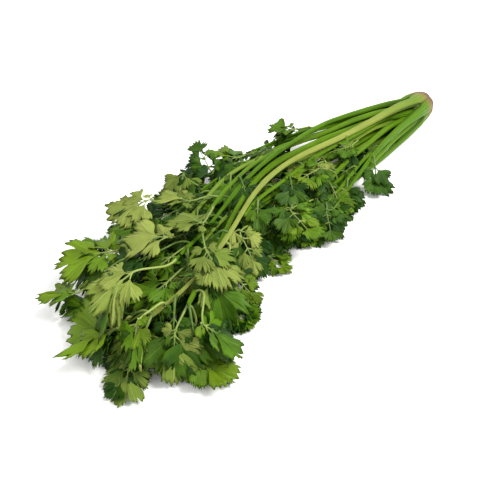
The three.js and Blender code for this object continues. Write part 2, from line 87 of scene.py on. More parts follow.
class Term:
    """A number or a vector inside a node tree, so that a shape can be written as a sum."""

    def __init__(self, tree, socket):
        self.tree, self.socket = tree, socket
        self.is_vector = socket.type in ("VECTOR", "RGBA")

    def use(self, operation, *others):
        vector = self.is_vector or any(isinstance(o, Term) and o.is_vector for o in others)
        node = self.tree.nodes.new("ShaderNodeVectorMath" if vector else "ShaderNodeMath")
        node.operation = operation
        for place, value in enumerate((self, *others)):
            feed(self.tree, node.inputs[place], value)
        numbers = operation in ("LENGTH", "DOT_PRODUCT", "DISTANCE")
        return Term(self.tree, node.outputs["Value" if numbers or not vector else "Vector"])

    def __add__(self, other):
        return self.use("ADD", other)

    def __sub__(self, other):
        return self.use("SUBTRACT", other)

    def __rsub__(self, other):
        return (self * -1) + other

    def __truediv__(self, other):
        return self.use("DIVIDE", other)

    def __pow__(self, other):
        return self.use("POWER", other)

    __radd__ = __add__

    def __mul__(self, other):
        if isinstance(other, Term) and self.is_vector != other.is_vector:
            vector, number = (self, other) if self.is_vector else (other, self)
        elif self.is_vector and not isinstance(other, Term):
            vector, number = self, other
        else:
            return self.use("MULTIPLY", other)
        node = self.tree.nodes.new("ShaderNodeVectorMath")
        node.operation = "SCALE"
        feed(self.tree, node.inputs[0], vector)
        feed(self.tree, node.inputs["Scale"], number)
        return Term(self.tree, node.outputs[0])

    def within(self, low, high, to_low=0.0, to_high=1.0, smooth=True):
        """This number's place between low and high, eased and held at both ends."""
        node = self.tree.nodes.new("ShaderNodeMapRange")
        node.interpolation_type = "SMOOTHSTEP" if smooth else "LINEAR"
        for name, value in (("Value", self), ("From Min", low), ("From Max", high),
                            ("To Min", to_low), ("To Max", to_high)):
            feed(self.tree, node.inputs[name], value)
        return Term(self.tree, node.outputs["Result"])

    def part(self, axis):
        node = self.tree.nodes.new("ShaderNodeSeparateXYZ")
        feed(self.tree, node.inputs[0], self)
        return Term(self.tree, node.outputs[axis])


def feed(tree, socket, value):
    """Joins a term to a socket, or sets the socket's own value."""
    if isinstance(value, Term):
        tree.links.new(value.socket, socket)
    elif isinstance(value, bpy.types.NodeSocket):
        tree.links.new(value, socket)
    elif value is not None:
        socket.default_value = value


def place(tree, kind, output=0, inputs=(), **settings):
    """One node with its settings and inputs, as the term that it puts out."""
    node = tree.nodes.new(kind)
    for name, value in settings.items():
        setattr(node, name, value)
    for name, value in dict(inputs).items():
        feed(tree, node.inputs[name], value)
    return Term(tree, node.outputs[output])


def vector(tree, x, y, z):
    return place(tree, "ShaderNodeCombineXYZ", 0, {"X": x, "Y": y, "Z": z})


def fine_noise(tree, where, scale, detail=3.0, rough=0.55):
    return place(tree, "ShaderNodeTexNoise", 0,
                 {"Vector": where, "Scale": scale, "Detail": detail, "Roughness": rough})


def blend_of(tree, share, one, other, kind="MIX"):
    """The colour between two others."""
    node = tree.nodes.new("ShaderNodeMix")
    node.data_type, node.blend_type = "RGBA", kind
    feed(tree, node.inputs[0], share)
    for socket, value in ((node.inputs[6], one), (node.inputs[7], other)):
        feed(tree, socket, (*value, 1.0) if isinstance(value, tuple) else value)
    return Term(tree, node.outputs[2])


def finish_of(name, colour_at, roughness, rise=0.001, **plain):
    """A material: colour_at gives its colour, roughness and height over the surface."""
    material = bpy.data.materials.new(name)
    material.use_nodes = True
    tree = material.node_tree
    shader = tree.nodes["Principled BSDF"]
    for socket, value in plain.items():
        shader.inputs[socket.replace("_", " ")].default_value = value
    colour, rough, relief = colour_at(tree)
    feed(tree, shader.inputs["Base Color"], colour)
    feed(tree, shader.inputs["Roughness"], rough if rough is not None else roughness)
    if relief is not None:
        bump = place(tree, "ShaderNodeBump", 0, {"Height": relief, "Distance": rise, "Strength": 1.0})
        feed(tree, shader.inputs["Normal"], bump)
    return material


def object_place(tree):
    return place(tree, "ShaderNodeTexCoord", "Object")


def new_object(name, data):
    """An object at the origin, in the scene."""
    made = bpy.data.objects.new(name, data)
    bpy.context.scene.collection.objects.link(made)
    return made


def mesh_of(name, points, faces, materials=(), which=None):
    """A mesh object from points and faces."""
    mesh = bpy.data.meshes.new(name)
    mesh.from_pydata([tuple(p) for p in points], [], faces)
    for material in materials:
        mesh.materials.append(material)
    if which is not None:
        mesh.polygons.foreach_set("material_index", which)
    mesh.polygons.foreach_set("use_smooth", [True] * len(mesh.polygons))
    mesh.update()
    return new_object(name, mesh)


def stock_rings():
    """Rings of the stock from the middle of the cut face out, along the side and to the back."""
    rings = []
    for share in FACE_RINGS[::-1]:
        rings.append((DISH_DEPTH - DISH_RISE * share, share * STOCK_OUTLINE[0][1] * FACE_EDGE))
    for along, wide in STOCK_OUTLINE:
        rings.append((along, wide))
    return rings


def stock_points():
    """Points of the stock, ring by ring, fluted where the stalks join it."""
    points = []
    for count, (along, wide) in enumerate(stock_rings()):
        for side in range(STOCK_SIDES):
            turn = 2 * math.pi * side / STOCK_SIDES
            flute = 1 + 0.035 * math.cos(BROAD_FLUTES * turn + 0.6)
            flute += 0.018 * math.sin(FINE_FLUTES * turn + 3 * along)
            rough = 1 + 0.012 * math.sin(WRINKLES * turn + 9 * along) + chance.uniform(-0.004, 0.004)
            radius = crown_radius * wide * flute * rough
            dished = 0.0006 * math.sin(5 * turn + count) * min(1.0, wide * 2)
            points.append((crown_low.x + crown_length * along + dished,
                           crown_middle.y + radius * math.cos(turn),
                           crown_middle.z + radius * math.sin(turn)))
    return points


def skin_between(rings, sides):
    """Faces between closed rings of points, facing out, with a fan at each end."""
    faces = []
    for ring in range(rings - 1):
        for side in range(sides):
            after = (side + 1) % sides
            a, b = ring * sides, (ring + 1) * sides
            faces.append((a + side, b + side, b + after, a + after))
    first, last = rings * sides, rings * sides + 1
    for side in range(sides):
        after = (side + 1) % sides
        faces.append((first, side, after))
        faces.append((last, (rings - 1) * sides + after, (rings - 1) * sides + side))
    return faces


def cork_look(tree):
    where = object_place(tree)
    coarse = fine_noise(tree, where, 260.0, 4.0, 0.65)
    fine = fine_noise(tree, where, 1500.0, 3.0)
    near_cut = (where.part("X") - crown_low.x).within(0.0, BROWNED_LENGTH)
    brown = blend_of(tree, coarse.within(0.3, 0.7), (0.105, 0.052, 0.030), (0.30, 0.19, 0.11))
    green = blend_of(tree, coarse.within(0.35, 0.7), (0.20, 0.27, 0.055), (0.36, 0.42, 0.13))
    return blend_of(tree, near_cut, brown, green), None, coarse * 0.7 + fine * 0.3


def cut_face_look(tree):
    where = object_place(tree)
    across = vector(tree, 0.0, where.part("Y") - crown_middle.y, where.part("Z") - crown_middle.z)
    out = across.use("LENGTH") * 1000
    blot = fine_noise(tree, where, 190.0, 5.0, 0.65)
    rings = (out * 1.5 + blot * 7).use("SINE") * 0.5 + 0.5
    strands = place(tree, "ShaderNodeTexVoronoi", "Distance", {"Vector": where, "Scale": 620.0})
    pale = blend_of(tree, blot.within(0.3, 0.72), (0.42, 0.33, 0.19), (0.17, 0.085, 0.045))
    ringed = blend_of(tree, rings * 0.45, pale, (0.24, 0.12, 0.06))
    dotted = blend_of(tree, strands.within(0.16, 0.28, 0.55, 0.0), ringed, (0.50, 0.42, 0.26))
    rim = blend_of(tree, out.within(*RIM_WIDTH, 0.0, 0.8), dotted, (0.13, 0.068, 0.052))
    return rim, None, blot * 0.6 + rings * 0.15 + strands * 0.4


cork_skin = finish_of("cork_skin", cork_look, 0.82, rise=0.0008, Specular_IOR_Level=0.25)
cut_face = finish_of("cut_face", cut_face_look, 0.9, rise=0.0007, Specular_IOR_Level=0.2)


def make_stock():
    """The stock, with the corky skin along its side and the cut face on its end."""
    rings = stock_rings()
    points = stock_points()
    points.append((crown_low.x + crown_length * DISH_MIDDLE, crown_middle.y, crown_middle.z))
    points.append((crown_high.x, crown_middle.y, crown_middle.z))
    faces = skin_between(len(rings), STOCK_SIDES)
    facing = len(FACE_RINGS) * STOCK_SIDES
    side_faces = (len(rings) - 1) * STOCK_SIDES
    which = [1 if count < facing else 0 for count in range(side_faces)]
    which += [1 if count % 2 == 0 else 0 for count in range(len(faces) - side_faces)]
    return mesh_of("root_stock", points, faces, (cork_skin, cut_face), which)


def new_tree(name, *inputs):
    """An empty geometry tree with a mesh input and named inputs for its sizes."""
    tree = bpy.data.node_groups.new(name, "GeometryNodeTree")
    side = tree.interface
    side.new_socket("Geometry", in_out="INPUT", socket_type="NodeSocketGeometry")
    side.new_socket("Geometry", in_out="OUTPUT", socket_type="NodeSocketGeometry")
    for label, kind, value in inputs:
        socket = side.new_socket(label, in_out="INPUT", socket_type="NodeSocket" + kind)
        if value is not None:
            socket.default_value = value
    given = tree.nodes.new("NodeGroupInput")
    return tree, {s.name: Term(tree, s) for s in given.outputs if s.name}


def close_tree(tree, geometry, *finishes):
    """Ends a tree in Realize Instances and a Set Material for each (selection, material)."""
    last = place(tree, "GeometryNodeRealizeInstances", 0, {"Geometry": geometry})
    for chosen, material in finishes:
        last = place(tree, "GeometryNodeSetMaterial", 0,
                     {"Geometry": last, "Selection": chosen, "Material": material})
    leave = tree.nodes.new("NodeGroupOutput")
    feed(tree, leave.inputs[0], last)


def grown(piece, tree, **sizes):
    """The mesh that a tree makes from a piece. The piece itself is used up."""
    modifier = piece.modifiers.new("growth", "NODES")
    modifier.node_group = tree
    for item in tree.interface.items_tree:
        if item.in_out == "INPUT" and item.name in sizes:
            modifier[item.identifier] = sizes[item.name]
    bpy.context.view_layer.update()
    depsgraph = bpy.context.evaluated_depsgraph_get()
    mesh = bpy.data.meshes.new_from_object(piece.evaluated_get(depsgraph), depsgraph=depsgraph)
    name = piece.name
    bpy.data.objects.remove(piece)
    mesh.name = name
    return new_object(name, mesh)


def root_tree():
    """Trimmed root ends: short tapered stubs at random over the rim of the cut."""
    tree, given = new_tree("root_ends", ("Density", "Float", 90000.0), ("Seed", "Int", 4),
                           ("Length", "Float", 0.005), ("Radius", "Float", 0.00055),
                           ("Material", "Material", None))
    at = place(tree, "GeometryNodeInputPosition")
    rim = at.part("X").use("LESS_THAN", crown_low.x + ROOT_END_BAND)
    centre = (0.0, crown_middle.y, crown_middle.z)
    flat = at.use("MULTIPLY", (0.0, 1.0, 1.0)).use("SUBTRACT", centre).use("LENGTH")
    outer = flat.use("GREATER_THAN", crown_radius * ROOT_END_CLEAR)
    scatter = tree.nodes.new("GeometryNodeDistributePointsOnFaces")
    feed(tree, scatter.inputs["Mesh"], given["Geometry"])
    feed(tree, scatter.inputs["Selection"], rim * outer)
    feed(tree, scatter.inputs["Density"], given["Density"])
    feed(tree, scatter.inputs["Seed"], given["Seed"])
    stub = place(tree, "GeometryNodeMeshCone", "Mesh",
                 {"Vertices": 7, "Side Segments": 3, "Radius Top": given["Radius"] * 0.35,
                  "Radius Bottom": given["Radius"], "Depth": given["Length"]})
    stub = place(tree, "GeometryNodeSetPosition", 0,
                 {"Geometry": stub, "Offset": vector(tree, 0.0, 0.0, given["Length"] * -0.3)})
    size = place(tree, "FunctionNodeRandomValue", 1, {2: 0.5, 3: 1.4, "Seed": given["Seed"]},
                 data_type="FLOAT")
    lean = place(tree, "FunctionNodeRandomValue", 0,
                 {0: (-0.6, -0.6, 0.0), 1: (0.6, 0.6, 6.0), "Seed": given["Seed"]},
                 data_type="FLOAT_VECTOR")
    turned = place(tree, "FunctionNodeRotateRotation", 0,
                   {0: Term(tree, scatter.outputs["Rotation"]), 1: lean}, rotation_space="LOCAL")
    put = place(tree, "GeometryNodeInstanceOnPoints", 0,
                {"Points": scatter.outputs["Points"], "Instance": stub, "Rotation": turned,
                 "Scale": size})
    close_tree(tree, put, (None, given["Material"]))
    return tree


def root_look(tree):
    where = object_place(tree)
    coarse = fine_noise(tree, where, 420.0, 4.0, 0.6)
    brown = blend_of(tree, coarse.within(0.3, 0.7), (0.10, 0.05, 0.03), (0.34, 0.23, 0.13))
    return brown, None, coarse


root_skin = finish_of("root_skin", root_look, 0.88, rise=0.0004, Specular_IOR_Level=0.2)

stock = make_stock()
root_ends = grown(new_object("root_ends", stock.data.copy()), root_tree(), Material=root_skin)
for piece in (stock, root_ends):
    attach(piece, "root")
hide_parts("crown")


# ---------------------------------------------------------------------------------------------
# Stalks. Each is one crisp leaf stalk, with strands that show as ribs along its back and a
# channel down the side that faces the heart. An outer one widens at its foot into a sheath that
# clasps the root stock down to the cut, and an inner one starts inside the stock and is paler.
# ---------------------------------------------------------------------------------------------
SHEATH_STOPS = (0.045, 0.16, 0.36, 0.6, 0.82)  # shares of the crown's length
SHEATH_HALF_WIDTH = 0.0083
SHEATH_HALF_DEPTH = 0.0022
SHEATH_THICKENING = 0.0006  # added to the half depth over the length of the crown
SUNK_STOPS = (0.45, 0.75)  # the same shares for a stalk that starts inside the stock
SUNK_SHARE = 0.8  # how far out such a stalk starts, as a share of where it leaves the crown
CROWN_SHARES = (0, 0.06, 0.3, 0.65, 1)  # shares of the crown's length, from the cut on
CROWN_RADII = (0.76, 0.82, 0.91, 0.985, 1.0)  # the crown's radius there, as shares of its widest
STALK_SPACING = 0.0042  # between the rings of a stalk
STALK_SIDES = 56
STALK_TIP = (0.0011, 0.0010)  # half width and half depth where the tip leaf starts
STALK_END = 0.0007  # both, on the very last ring
STALK_TAPER = 0.42  # share of its width that a stalk loses on its way
JOINT_REACH = 0.010  # how far along a stalk the swelling at a side leaf is felt
JOINT_SWELLING = 0.22
NECK = (0.045, 0.13)  # a stalk slims between these lengths from its foot
NECK_WIDTH, USUAL_WIDTH = 1.06, 0.97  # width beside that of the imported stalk, before and after
UNEVENNESS = 0.03
OLD_RIBS, YOUNG_RIBS = 13.0, 9.0
CHANNEL_SHARE = 0.62  # how wide the channel is beside the stalk
SLIM = {"outer_stalk_1": 0.74, "outer_stalk_2": 0.85}  # stalks that slim more than the others
PALE_STALKS = ("outer_stalk_1",)
LEAST_HEIGHT = 0.0004  # of any point over the table
PLACE, BACK, SIZES = slice(0, 3), slice(3, 6), slice(6, 8)  # what the columns of a path hold
PATH_FIELDS = (("back", 3), ("half_width", 1), ("half_depth", 1), ("wrap", 1), ("across", 3),
               ("length", 1))
FOOT_GREEN = (0.058, 0.140, 0.001)
# painted shade in the creases between the sheaths, near the foot
PAINTED_CREASE_SHADE = (0.014, 0.034, 0.0004)
FOOT_BLUSH = (0.160, 0.115, 0.022)
FOOT_TAN = (0.105, 0.048, 0.022)
FOOT_DRY = (0.080, 0.046, 0.036)


def crown_share(along):
    """Radius of the crown at a share of its length, from the cut to the stalks."""
    return float(np.interp(along, CROWN_SHARES, CROWN_RADII)) * crown_radius


def welded(node):
    """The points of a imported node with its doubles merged, and each point's neighbours."""
    mesh = frame["nodes"][node].data
    mesh.calc_loop_triangles()
    points = np.array([v.co[:] for v in mesh.vertices])
    corners = np.array([t.vertices[:] for t in mesh.loop_triangles])
    places, which = np.unique(np.round(points, 7), axis=0, return_inverse=True)
    near = [set() for _ in places]
    for a, b, c in which.reshape(-1)[corners]:
        near[a] |= {b, c}
        near[b] |= {a, c}
        near[c] |= {a, b}
    return places, near


def rings_of(node):
    """The rings of a lofted node in order, each as an array of its points."""
    places, near = welded(node)
    start = next(i for i, n in enumerate(near) if len(n) == 8)
    done, rings, edge = {start}, [], [start]
    while edge:
        edge = sorted({n for i in edge for n in near[i]} - done)
        done |= set(edge)
        if edge:
            rings.append(places[edge])
    return rings[:-1], places[start], rings[-1].mean(0)


def unit(v):
    return v / max(1e-12, float(np.linalg.norm(v)))


def smooth_through(points, shares):
    """Values on a smooth curve through points, at shares of the way along them."""
    points = np.asarray(points, float)
    gaps = np.maximum(np.linalg.norm(np.diff(points[:, :3], axis=0), axis=1), 1e-9) ** 0.5
    knots = np.concatenate([[0], np.cumsum(gaps)])
    slopes = np.gradient(points, knots, axis=0)
    at = np.asarray(shares) * knots[-1]
    left = np.clip(np.searchsorted(knots, at, side="right") - 1, 0, len(knots) - 2)
    span = (knots[left + 1] - knots[left])[:, None]
    t = ((at - knots[left])[:, None]) / span
    a, b = points[left], points[left + 1]
    return ((2 * t**3 - 3 * t**2 + 1) * a + (t**3 - 2 * t**2 + t) * span * slopes[left]
            + (3 * t**2 - 2 * t**3) * b + (t**3 - t**2) * span * slopes[left + 1])


def stalk_rings(node):
    """Middle, back direction, half width and half depth of each ring of a packed stalk."""
    rings, first_pole, last_pole = rings_of(node)
    if first_pole[0] > last_pole[0]:
        rings, first_pole, last_pole = rings[::-1], last_pole, first_pole
    middles = [r.mean(0) for r in rings]
    rows = []
    for count, ring in enumerate(rings):
        along = unit(middles[min(count + 1, len(rings) - 1)] - middles[max(count - 1, 0)])
        channel = ring[np.argmin(np.linalg.norm(ring - middles[count], axis=1))]
        back = middles[count] - channel
        back = unit(back - along * back.dot(along))
        across = unit(np.cross(back, along))
        spread = ring - middles[count]
        half_width, half_depth = np.abs(spread @ across).max(), np.abs(spread @ back).max()
        rows.append(np.concatenate([middles[count], back, [half_width, half_depth, 0.0]]))
    return rows, last_pole


def with_sheath(rows, is_outer):
    """Adds the foot of a stalk: a sheath round the stock, or a short end sunk in it."""
    axis = np.array([0, crown_middle.y, crown_middle.z])
    out = rows[0][PLACE] - axis
    out[0] = 0
    sunk = float(np.linalg.norm(out[1:])) * SUNK_SHARE
    out = unit(out)
    foot = []
    for stop in SHEATH_STOPS if is_outer else SUNK_STOPS:
        radius = crown_share(stop)
        depth = SHEATH_HALF_DEPTH + SHEATH_THICKENING * stop
        middle = axis + out * (radius - depth if is_outer else sunk)
        middle[0] = crown_low.x + crown_length * stop
        width = SHEATH_HALF_WIDTH * (0.86 + 0.1 * stop) if is_outer else rows[0][6]
        wrap = 1 / (2 * radius) if is_outer else 0
        foot.append(np.concatenate([middle, out, [width, depth, wrap]]))
    return foot + rows


def carry(mesh, label, values):
    """Stores a number or a vector at each point of a mesh."""
    values = np.asarray(values, np.float32)
    kind, field = ("FLOAT_VECTOR", "vector") if values.ndim == 2 else ("FLOAT", "value")
    mesh.attributes.new(label, kind, "POINT").data.foreach_set(field, values.ravel())


def measured(line):
    """A path with two more fields: the direction across it and the length up to each point."""
    steps = np.linalg.norm(np.diff(line[:, PLACE], axis=0), axis=1)
    across = np.cross(line[:, BACK], np.gradient(line[:, PLACE], axis=0))
    return np.hstack([line, across, np.concatenate([[0], np.cumsum(steps)])[:, None]])


def path_piece(name, rows):
    """A line of points that carries the sizes of a stalk along it."""
    mesh = bpy.data.meshes.new(name)
    mesh.from_pydata([tuple(r[PLACE]) for r in rows], [(i, i + 1) for i in range(len(rows) - 1)], [])
    column = 3
    for label, wide in PATH_FIELDS:
        carry(mesh, label, rows[:, column:column + 3] if wide == 3 else rows[:, column])
        column += wide
    return new_object(name, mesh)


def named(tree, label, kind="FLOAT"):
    return place(tree, "GeometryNodeInputNamedAttribute", "Attribute", {"Name": label}, data_type=kind)


def store(tree, geometry, label, value, kind="FLOAT"):
    return place(tree, "GeometryNodeStoreNamedAttribute", 0,
                 {"Geometry": geometry, "Name": label, "Value": value}, data_type=kind, domain="POINT")


def stalk_tree():
    """A ribbed, channelled stalk swept along a line that carries its sizes."""
    tree, given = new_tree("ribbed_stalk", ("Rings", "Int", 60), ("Sides", "Int", STALK_SIDES),
                           ("Ribs", "Float", OLD_RIBS), ("Rib Height", "Float", 0.05),
                           ("Channel", "Float", 0.75), ("Seed", "Float", 0.0),
                           ("Material", "Material", None))
    tube = place(tree, "GeometryNodeMeshCylinder", "Mesh",
                 {"Vertices": given["Sides"], "Side Segments": given["Rings"] - 1, "Radius": 1.0,
                  "Depth": 1.0},
                 fill_type="TRIANGLE_FAN")
    at = place(tree, "GeometryNodeInputPosition")
    share = at.part("Z") + 0.5
    ring = (share * (given["Rings"] - 1)).use("ROUND")
    turn = at.part("Y").use("ARCTAN2", at.part("X"))
    out = at.use("MULTIPLY", (1.0, 1.0, 0.0)).use("LENGTH")

    def along_path(label, kind):
        source = (place(tree, "GeometryNodeInputPosition") if label == "position"
                  else named(tree, label, kind))
        return place(tree, "GeometryNodeSampleIndex", 0,
                     {"Geometry": given["Geometry"], "Value": source, "Index": ring}, data_type=kind)

    middle = along_path("position", "FLOAT_VECTOR")
    back = along_path("back", "FLOAT_VECTOR").use("NORMALIZE")
    across = along_path("across", "FLOAT_VECTOR").use("NORMALIZE")
    half_width, half_depth = along_path("half_width", "FLOAT"), along_path("half_depth", "FLOAT")
    wrap = along_path("wrap", "FLOAT")
    length = along_path("length", "FLOAT")
    wander = (length * 21 + given["Seed"]).use("SINE") * 0.25
    ribs = (turn * given["Ribs"] + wander).use("COSINE")
    behind = (turn.use("SINE") * 0.6 + 0.55).within(0.0, 0.75)
    swell = (ribs * given["Rib Height"] * behind + 1) * out
    x = turn.use("COSINE") * half_width * swell
    dent = ((turn.use("COSINE") / CHANNEL_SHARE) ** 2 * -1).use("EXPONENT") * given["Channel"]
    facing_in = turn.use("SINE").within(0.35, -0.6)
    y = turn.use("SINE") * half_depth * swell + dent * facing_in * half_depth * out - x * x * wrap
    spot = middle + across * x + back * y
    spot = vector(tree, spot.part("X"), spot.part("Y"), spot.part("Z").use("MAXIMUM", LEAST_HEIGHT))
    # The rib pattern and the length are stored first, because they read the plain tube.
    marked = store(tree, tube, "rib", ribs * behind * 0.5 + 0.5)
    marked = store(tree, marked, "length", length)
    marked = store(tree, marked, "round", turn)
    marked = store(tree, marked, "inner_side", facing_in)
    shaped = place(tree, "GeometryNodeSetPosition", 0, {"Geometry": marked, "Position": spot})
    smooth = place(tree, "GeometryNodeSetShadeSmooth", 0, {"Geometry": shaped})
    close_tree(tree, smooth, (None, given["Material"]))
    return tree


def attribute(tree, label):
    return place(tree, "ShaderNodeAttribute", "Fac", attribute_name=label)


def stalk_look(pale, deep, edge):
    """Skin of a stalk: strands in two greens, paler ribs with a painted highlight, a brown foot with
    painted shade in its creases, and a moist surface.
    """
    def look(tree):
        where = object_place(tree)
        rib, length, turn = (attribute(tree, n) for n in ("rib", "length", "round"))
        strand_place = vector(tree, turn.use("COSINE") * 5, turn.use("SINE") * 5, length * 14)
        strands = fine_noise(tree, strand_place, 2.2, 5.0, 0.6)
        blot = fine_noise(tree, where, 42.0, 3.0)
        body = blend_of(tree, strands.within(0.33, 0.68), deep, pale)
        # The rib tops are paler in their own colour and also carry a painted highlight.
        ribbed = blend_of(tree, rib.within(0.35, 0.95, 0.0, 0.55), body, edge)
        mottled = blend_of(tree, blot.within(0.42, 0.75, 0.0, 0.45), ribbed, deep)
        from_cut = where.part("X") - crown_low.x
        margin = attribute(tree, "inner_side").within(0.0, 0.7)
        foot = from_cut + (strands - 0.5) * 0.045 - margin * 0.016
        greened = blend_of(tree, from_cut.within(0.03, 0.13, 0.6, 0.0), mottled, FOOT_GREEN)
        # Painted shade: dark green along the edges of the sheaths near the foot, where neighbouring
        # sheaths meet.
        sides = turn.use("COSINE").use("ABSOLUTE").within(0.72, 0.98)
        crease = sides * from_cut.within(0.03, 0.12, 0.8, 0.0)
        crease_shaded = blend_of(tree, crease, greened, PAINTED_CREASE_SHADE)
        blushed = blend_of(tree, foot.within(0.008, 0.028, 0.85, 0.0), crease_shaded, FOOT_BLUSH)
        tanned = blend_of(tree, foot.within(0.004, 0.015), FOOT_TAN, blushed)
        dry = blend_of(tree, from_cut.within(0.003, 0.009), FOOT_DRY, tanned)
        rough = strands.within(0.3, 0.7, 0.34, 0.5)
        return dry, rough, strands * 0.6 + rib * 0.5
    return look


STALK_COLOURS = {  # pale strands, deep strands, tops of the ribs (paler in their own colour, with a painted highlight), and how much they shine
    "outer_stalk": ((0.071, 0.176, 0.0013), (0.019, 0.066, 0.0003), (0.120, 0.205, 0.007), 0.08),
    "inner_stalk": ((0.091, 0.203, 0.0027), (0.028, 0.084, 0.0005), (0.155, 0.235, 0.013), 0.08),
    "heart_stalk": ((0.155, 0.235, 0.020), (0.07, 0.145, 0.005), (0.21, 0.285, 0.040), 0.12),
    "old_stalk": ((0.225, 0.262, 0.045), (0.120, 0.165, 0.014), (0.29, 0.32, 0.085), 0.12),
}
stalk_finishes = {}
for age, (pale, deep, edge, shine) in STALK_COLOURS.items():
    stalk_finishes[age] = finish_of(age + "_skin", stalk_look(pale, deep, edge), 0.38, rise=0.0004,
                                    Specular_IOR_Level=shine)
ribbed_stalk = stalk_tree()
stalk_names = sorted(n for n in frame["nodes"] if "_stalk" in n)


def joints_on(stalk):
    """Where the stems of a stalk's side leaves leave it, to swell the stalk there."""
    whorl, _, number = stalk.partition("_stalk")
    start = whorl + (number or "") + "_side_leaf"
    found = []
    for node in frame["nodes"]:
        if node.startswith(start):
            rings, first_pole, last_pole = rings_of(node)
            small_first = np.ptp(rings[1], axis=0).max() < np.ptp(rings[-2], axis=0).max()
            found.append(first_pole if small_first else last_pole)
    return found


line_of = {}


def ring_count(length):
    """How many rings a stalk of this length is made of."""
    return max(24, int(length / STALK_SPACING))


def make_stalk(name):
    """The skin of one grown stalk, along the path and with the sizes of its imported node."""
    rows, end = stalk_rings(name)
    last = rows[-1].copy()
    last[PLACE] = end
    last[SIZES] = STALK_TIP
    rows = with_sheath(rows, name.startswith("outer")) + [last]
    count = ring_count(np.linalg.norm(rows[-1][PLACE] - rows[0][PLACE]))
    shares = np.linspace(0, 1, count)
    line = measured(smooth_through(rows, shares))
    phase = chance.uniform(0, 6)
    joints = joints_on(name)
    for share, row in zip(shares, line):
        swelling = sum(math.exp(-(np.linalg.norm(row[PLACE] - j) / JOINT_REACH) ** 2) for j in joints)
        slim = np.interp(row[-1], NECK, (NECK_WIDTH, SLIM.get(name, USUAL_WIDTH)))
        slim *= 1 - STALK_TAPER * share ** 2
        row[SIZES] *= slim * (1 + JOINT_SWELLING * swelling + UNEVENNESS * math.sin(40 * share + phase))
    line[-1, SIZES] = STALK_END
    line_of[name] = line
    kind = name.rstrip("0123456789_")
    skin = stalk_finishes["old_stalk" if name in PALE_STALKS else kind]
    ribs = YOUNG_RIBS if kind == "heart_stalk" else OLD_RIBS
    stalk = grown(path_piece(name + "_skin", line), ribbed_stalk, Rings=count, Ribs=ribs,
                  Seed=phase, Material=skin)
    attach(stalk, "root")
    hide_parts(name)


for stalk_name in stalk_names:
    make_stalk(stalk_name)


# ---------------------------------------------------------------------------------------------
# Young stalks. Thin ones of the same crisp flesh that fill the room between the grown stalks.
# Each comes from inside the stock and runs along with its neighbours, rounder than they are and
# as pale as the inner ones.
# ---------------------------------------------------------------------------------------------
YOUNG_STATION = 0.024  # between the points that lead a young stalk along
YOUNG_START = 0.7  # share of the crown's length at which it starts
YOUNG_OUT = (0.6, 1.0)  # its distance from the axis beside that of its neighbours, from its
YOUNG_OUT_LENGTH = 0.03  # start to the end of this length
YOUNG_TAPER = 0.55
YOUNG_FLATNESS = 0.82
YOUNG_END = 0.0008
YOUNG_SIDES = 32
YOUNG_STALKS = (  # the two neighbours, share of the way from one to the other, end, half width
    ("outer_stalk_6", "outer_stalk_7", 0.5, 0.010, 0.0034),
    ("outer_stalk_7", "heart_stalk", 0.5, 0.035, 0.0032),
    ("heart_stalk", "inner_stalk_4", 0.45, 0.060, 0.0030),
    ("inner_stalk_4", "outer_stalk_7", 0.5, 0.000, 0.0030),
    ("outer_stalk_5", "outer_stalk_6", 0.62, 0.030, 0.0034),
    ("outer_stalk_5", "outer_stalk_6", 0.25, 0.085, 0.0030),
    ("inner_stalk_3", "heart_stalk", 0.5, 0.100, 0.0028),
    ("outer_stalk_1", "heart_stalk", 0.45, 0.075, 0.0030),
    ("inner_stalk_1", "inner_stalk_2", 0.5, 0.120, 0.0030),
    ("outer_stalk_3", "outer_stalk_4", 0.5, 0.090, 0.0032),
    ("inner_stalk_3", "inner_stalk_2", 0.5, 0.170, 0.0028),
    ("inner_stalk_5", "inner_stalk_3", 0.4, 0.150, 0.0028),
    ("outer_stalk_5", "outer_stalk_4", 0.35, 0.180, 0.0030),
    ("outer_stalk_5", "outer_stalk_1", 0.4, 0.175, 0.0028),
)


def beside(name, x):
    """Where a grown stalk runs at a distance along the head, carried on past its end."""
    line = line_of[name][:, PLACE]
    last = line[-6]
    if x > last[0]:
        found = last + unit(last - line[-20]) * (x - last[0])
    else:
        found = np.array([np.interp(x, line[:, 0], line[:, k]) for k in range(3)])
    found[0] = x
    return found


def make_young_stalk(number, one, other, share, end, wide):
    """One young stalk between two grown ones."""
    start = crown_low.x + crown_length * YOUNG_START
    stops = np.append(np.arange(start, end - YOUNG_STATION / 2, YOUNG_STATION), end)
    rows = []
    for count, x in enumerate(stops):
        middle = beside(one, x) * (1 - share) + beside(other, x) * share
        axis = np.array([x, crown_middle.y, crown_middle.z])
        middle = axis + (middle - axis) * np.interp(x - start, (0.0, YOUNG_OUT_LENGTH), YOUNG_OUT)
        middle[1] += 0.0015 * math.sin(1.3 * count + number)
        middle[2] = max(wide + 0.001, middle[2] + 0.001 * math.sin(0.9 * count + 2 * number))
        way = count / (len(stops) - 1)
        size = wide * (1 - YOUNG_TAPER * way)
        back = [0, 0.3 * math.sin(number), 1.0]
        rows.append(np.concatenate([middle, back, [size, size * YOUNG_FLATNESS, 0.0]]))
    rows[-1][SIZES] = YOUNG_END
    count = ring_count(end - start)
    name = f"young_stalk_{number}"
    line_of[name] = measured(smooth_through(rows, np.linspace(0, 1, count)))
    skin = stalk_finishes["inner_stalk" if number % 3 else "heart_stalk"]
    stalk = grown(path_piece(name, line_of[name]), ribbed_stalk, Rings=count, Ribs=YOUNG_RIBS,
                  Seed=number * 1.7, Sides=YOUNG_SIDES, Material=skin)
    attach(stalk, "root")


for number, young in enumerate(YOUNG_STALKS, 1):
    make_young_stalk(number, *young)


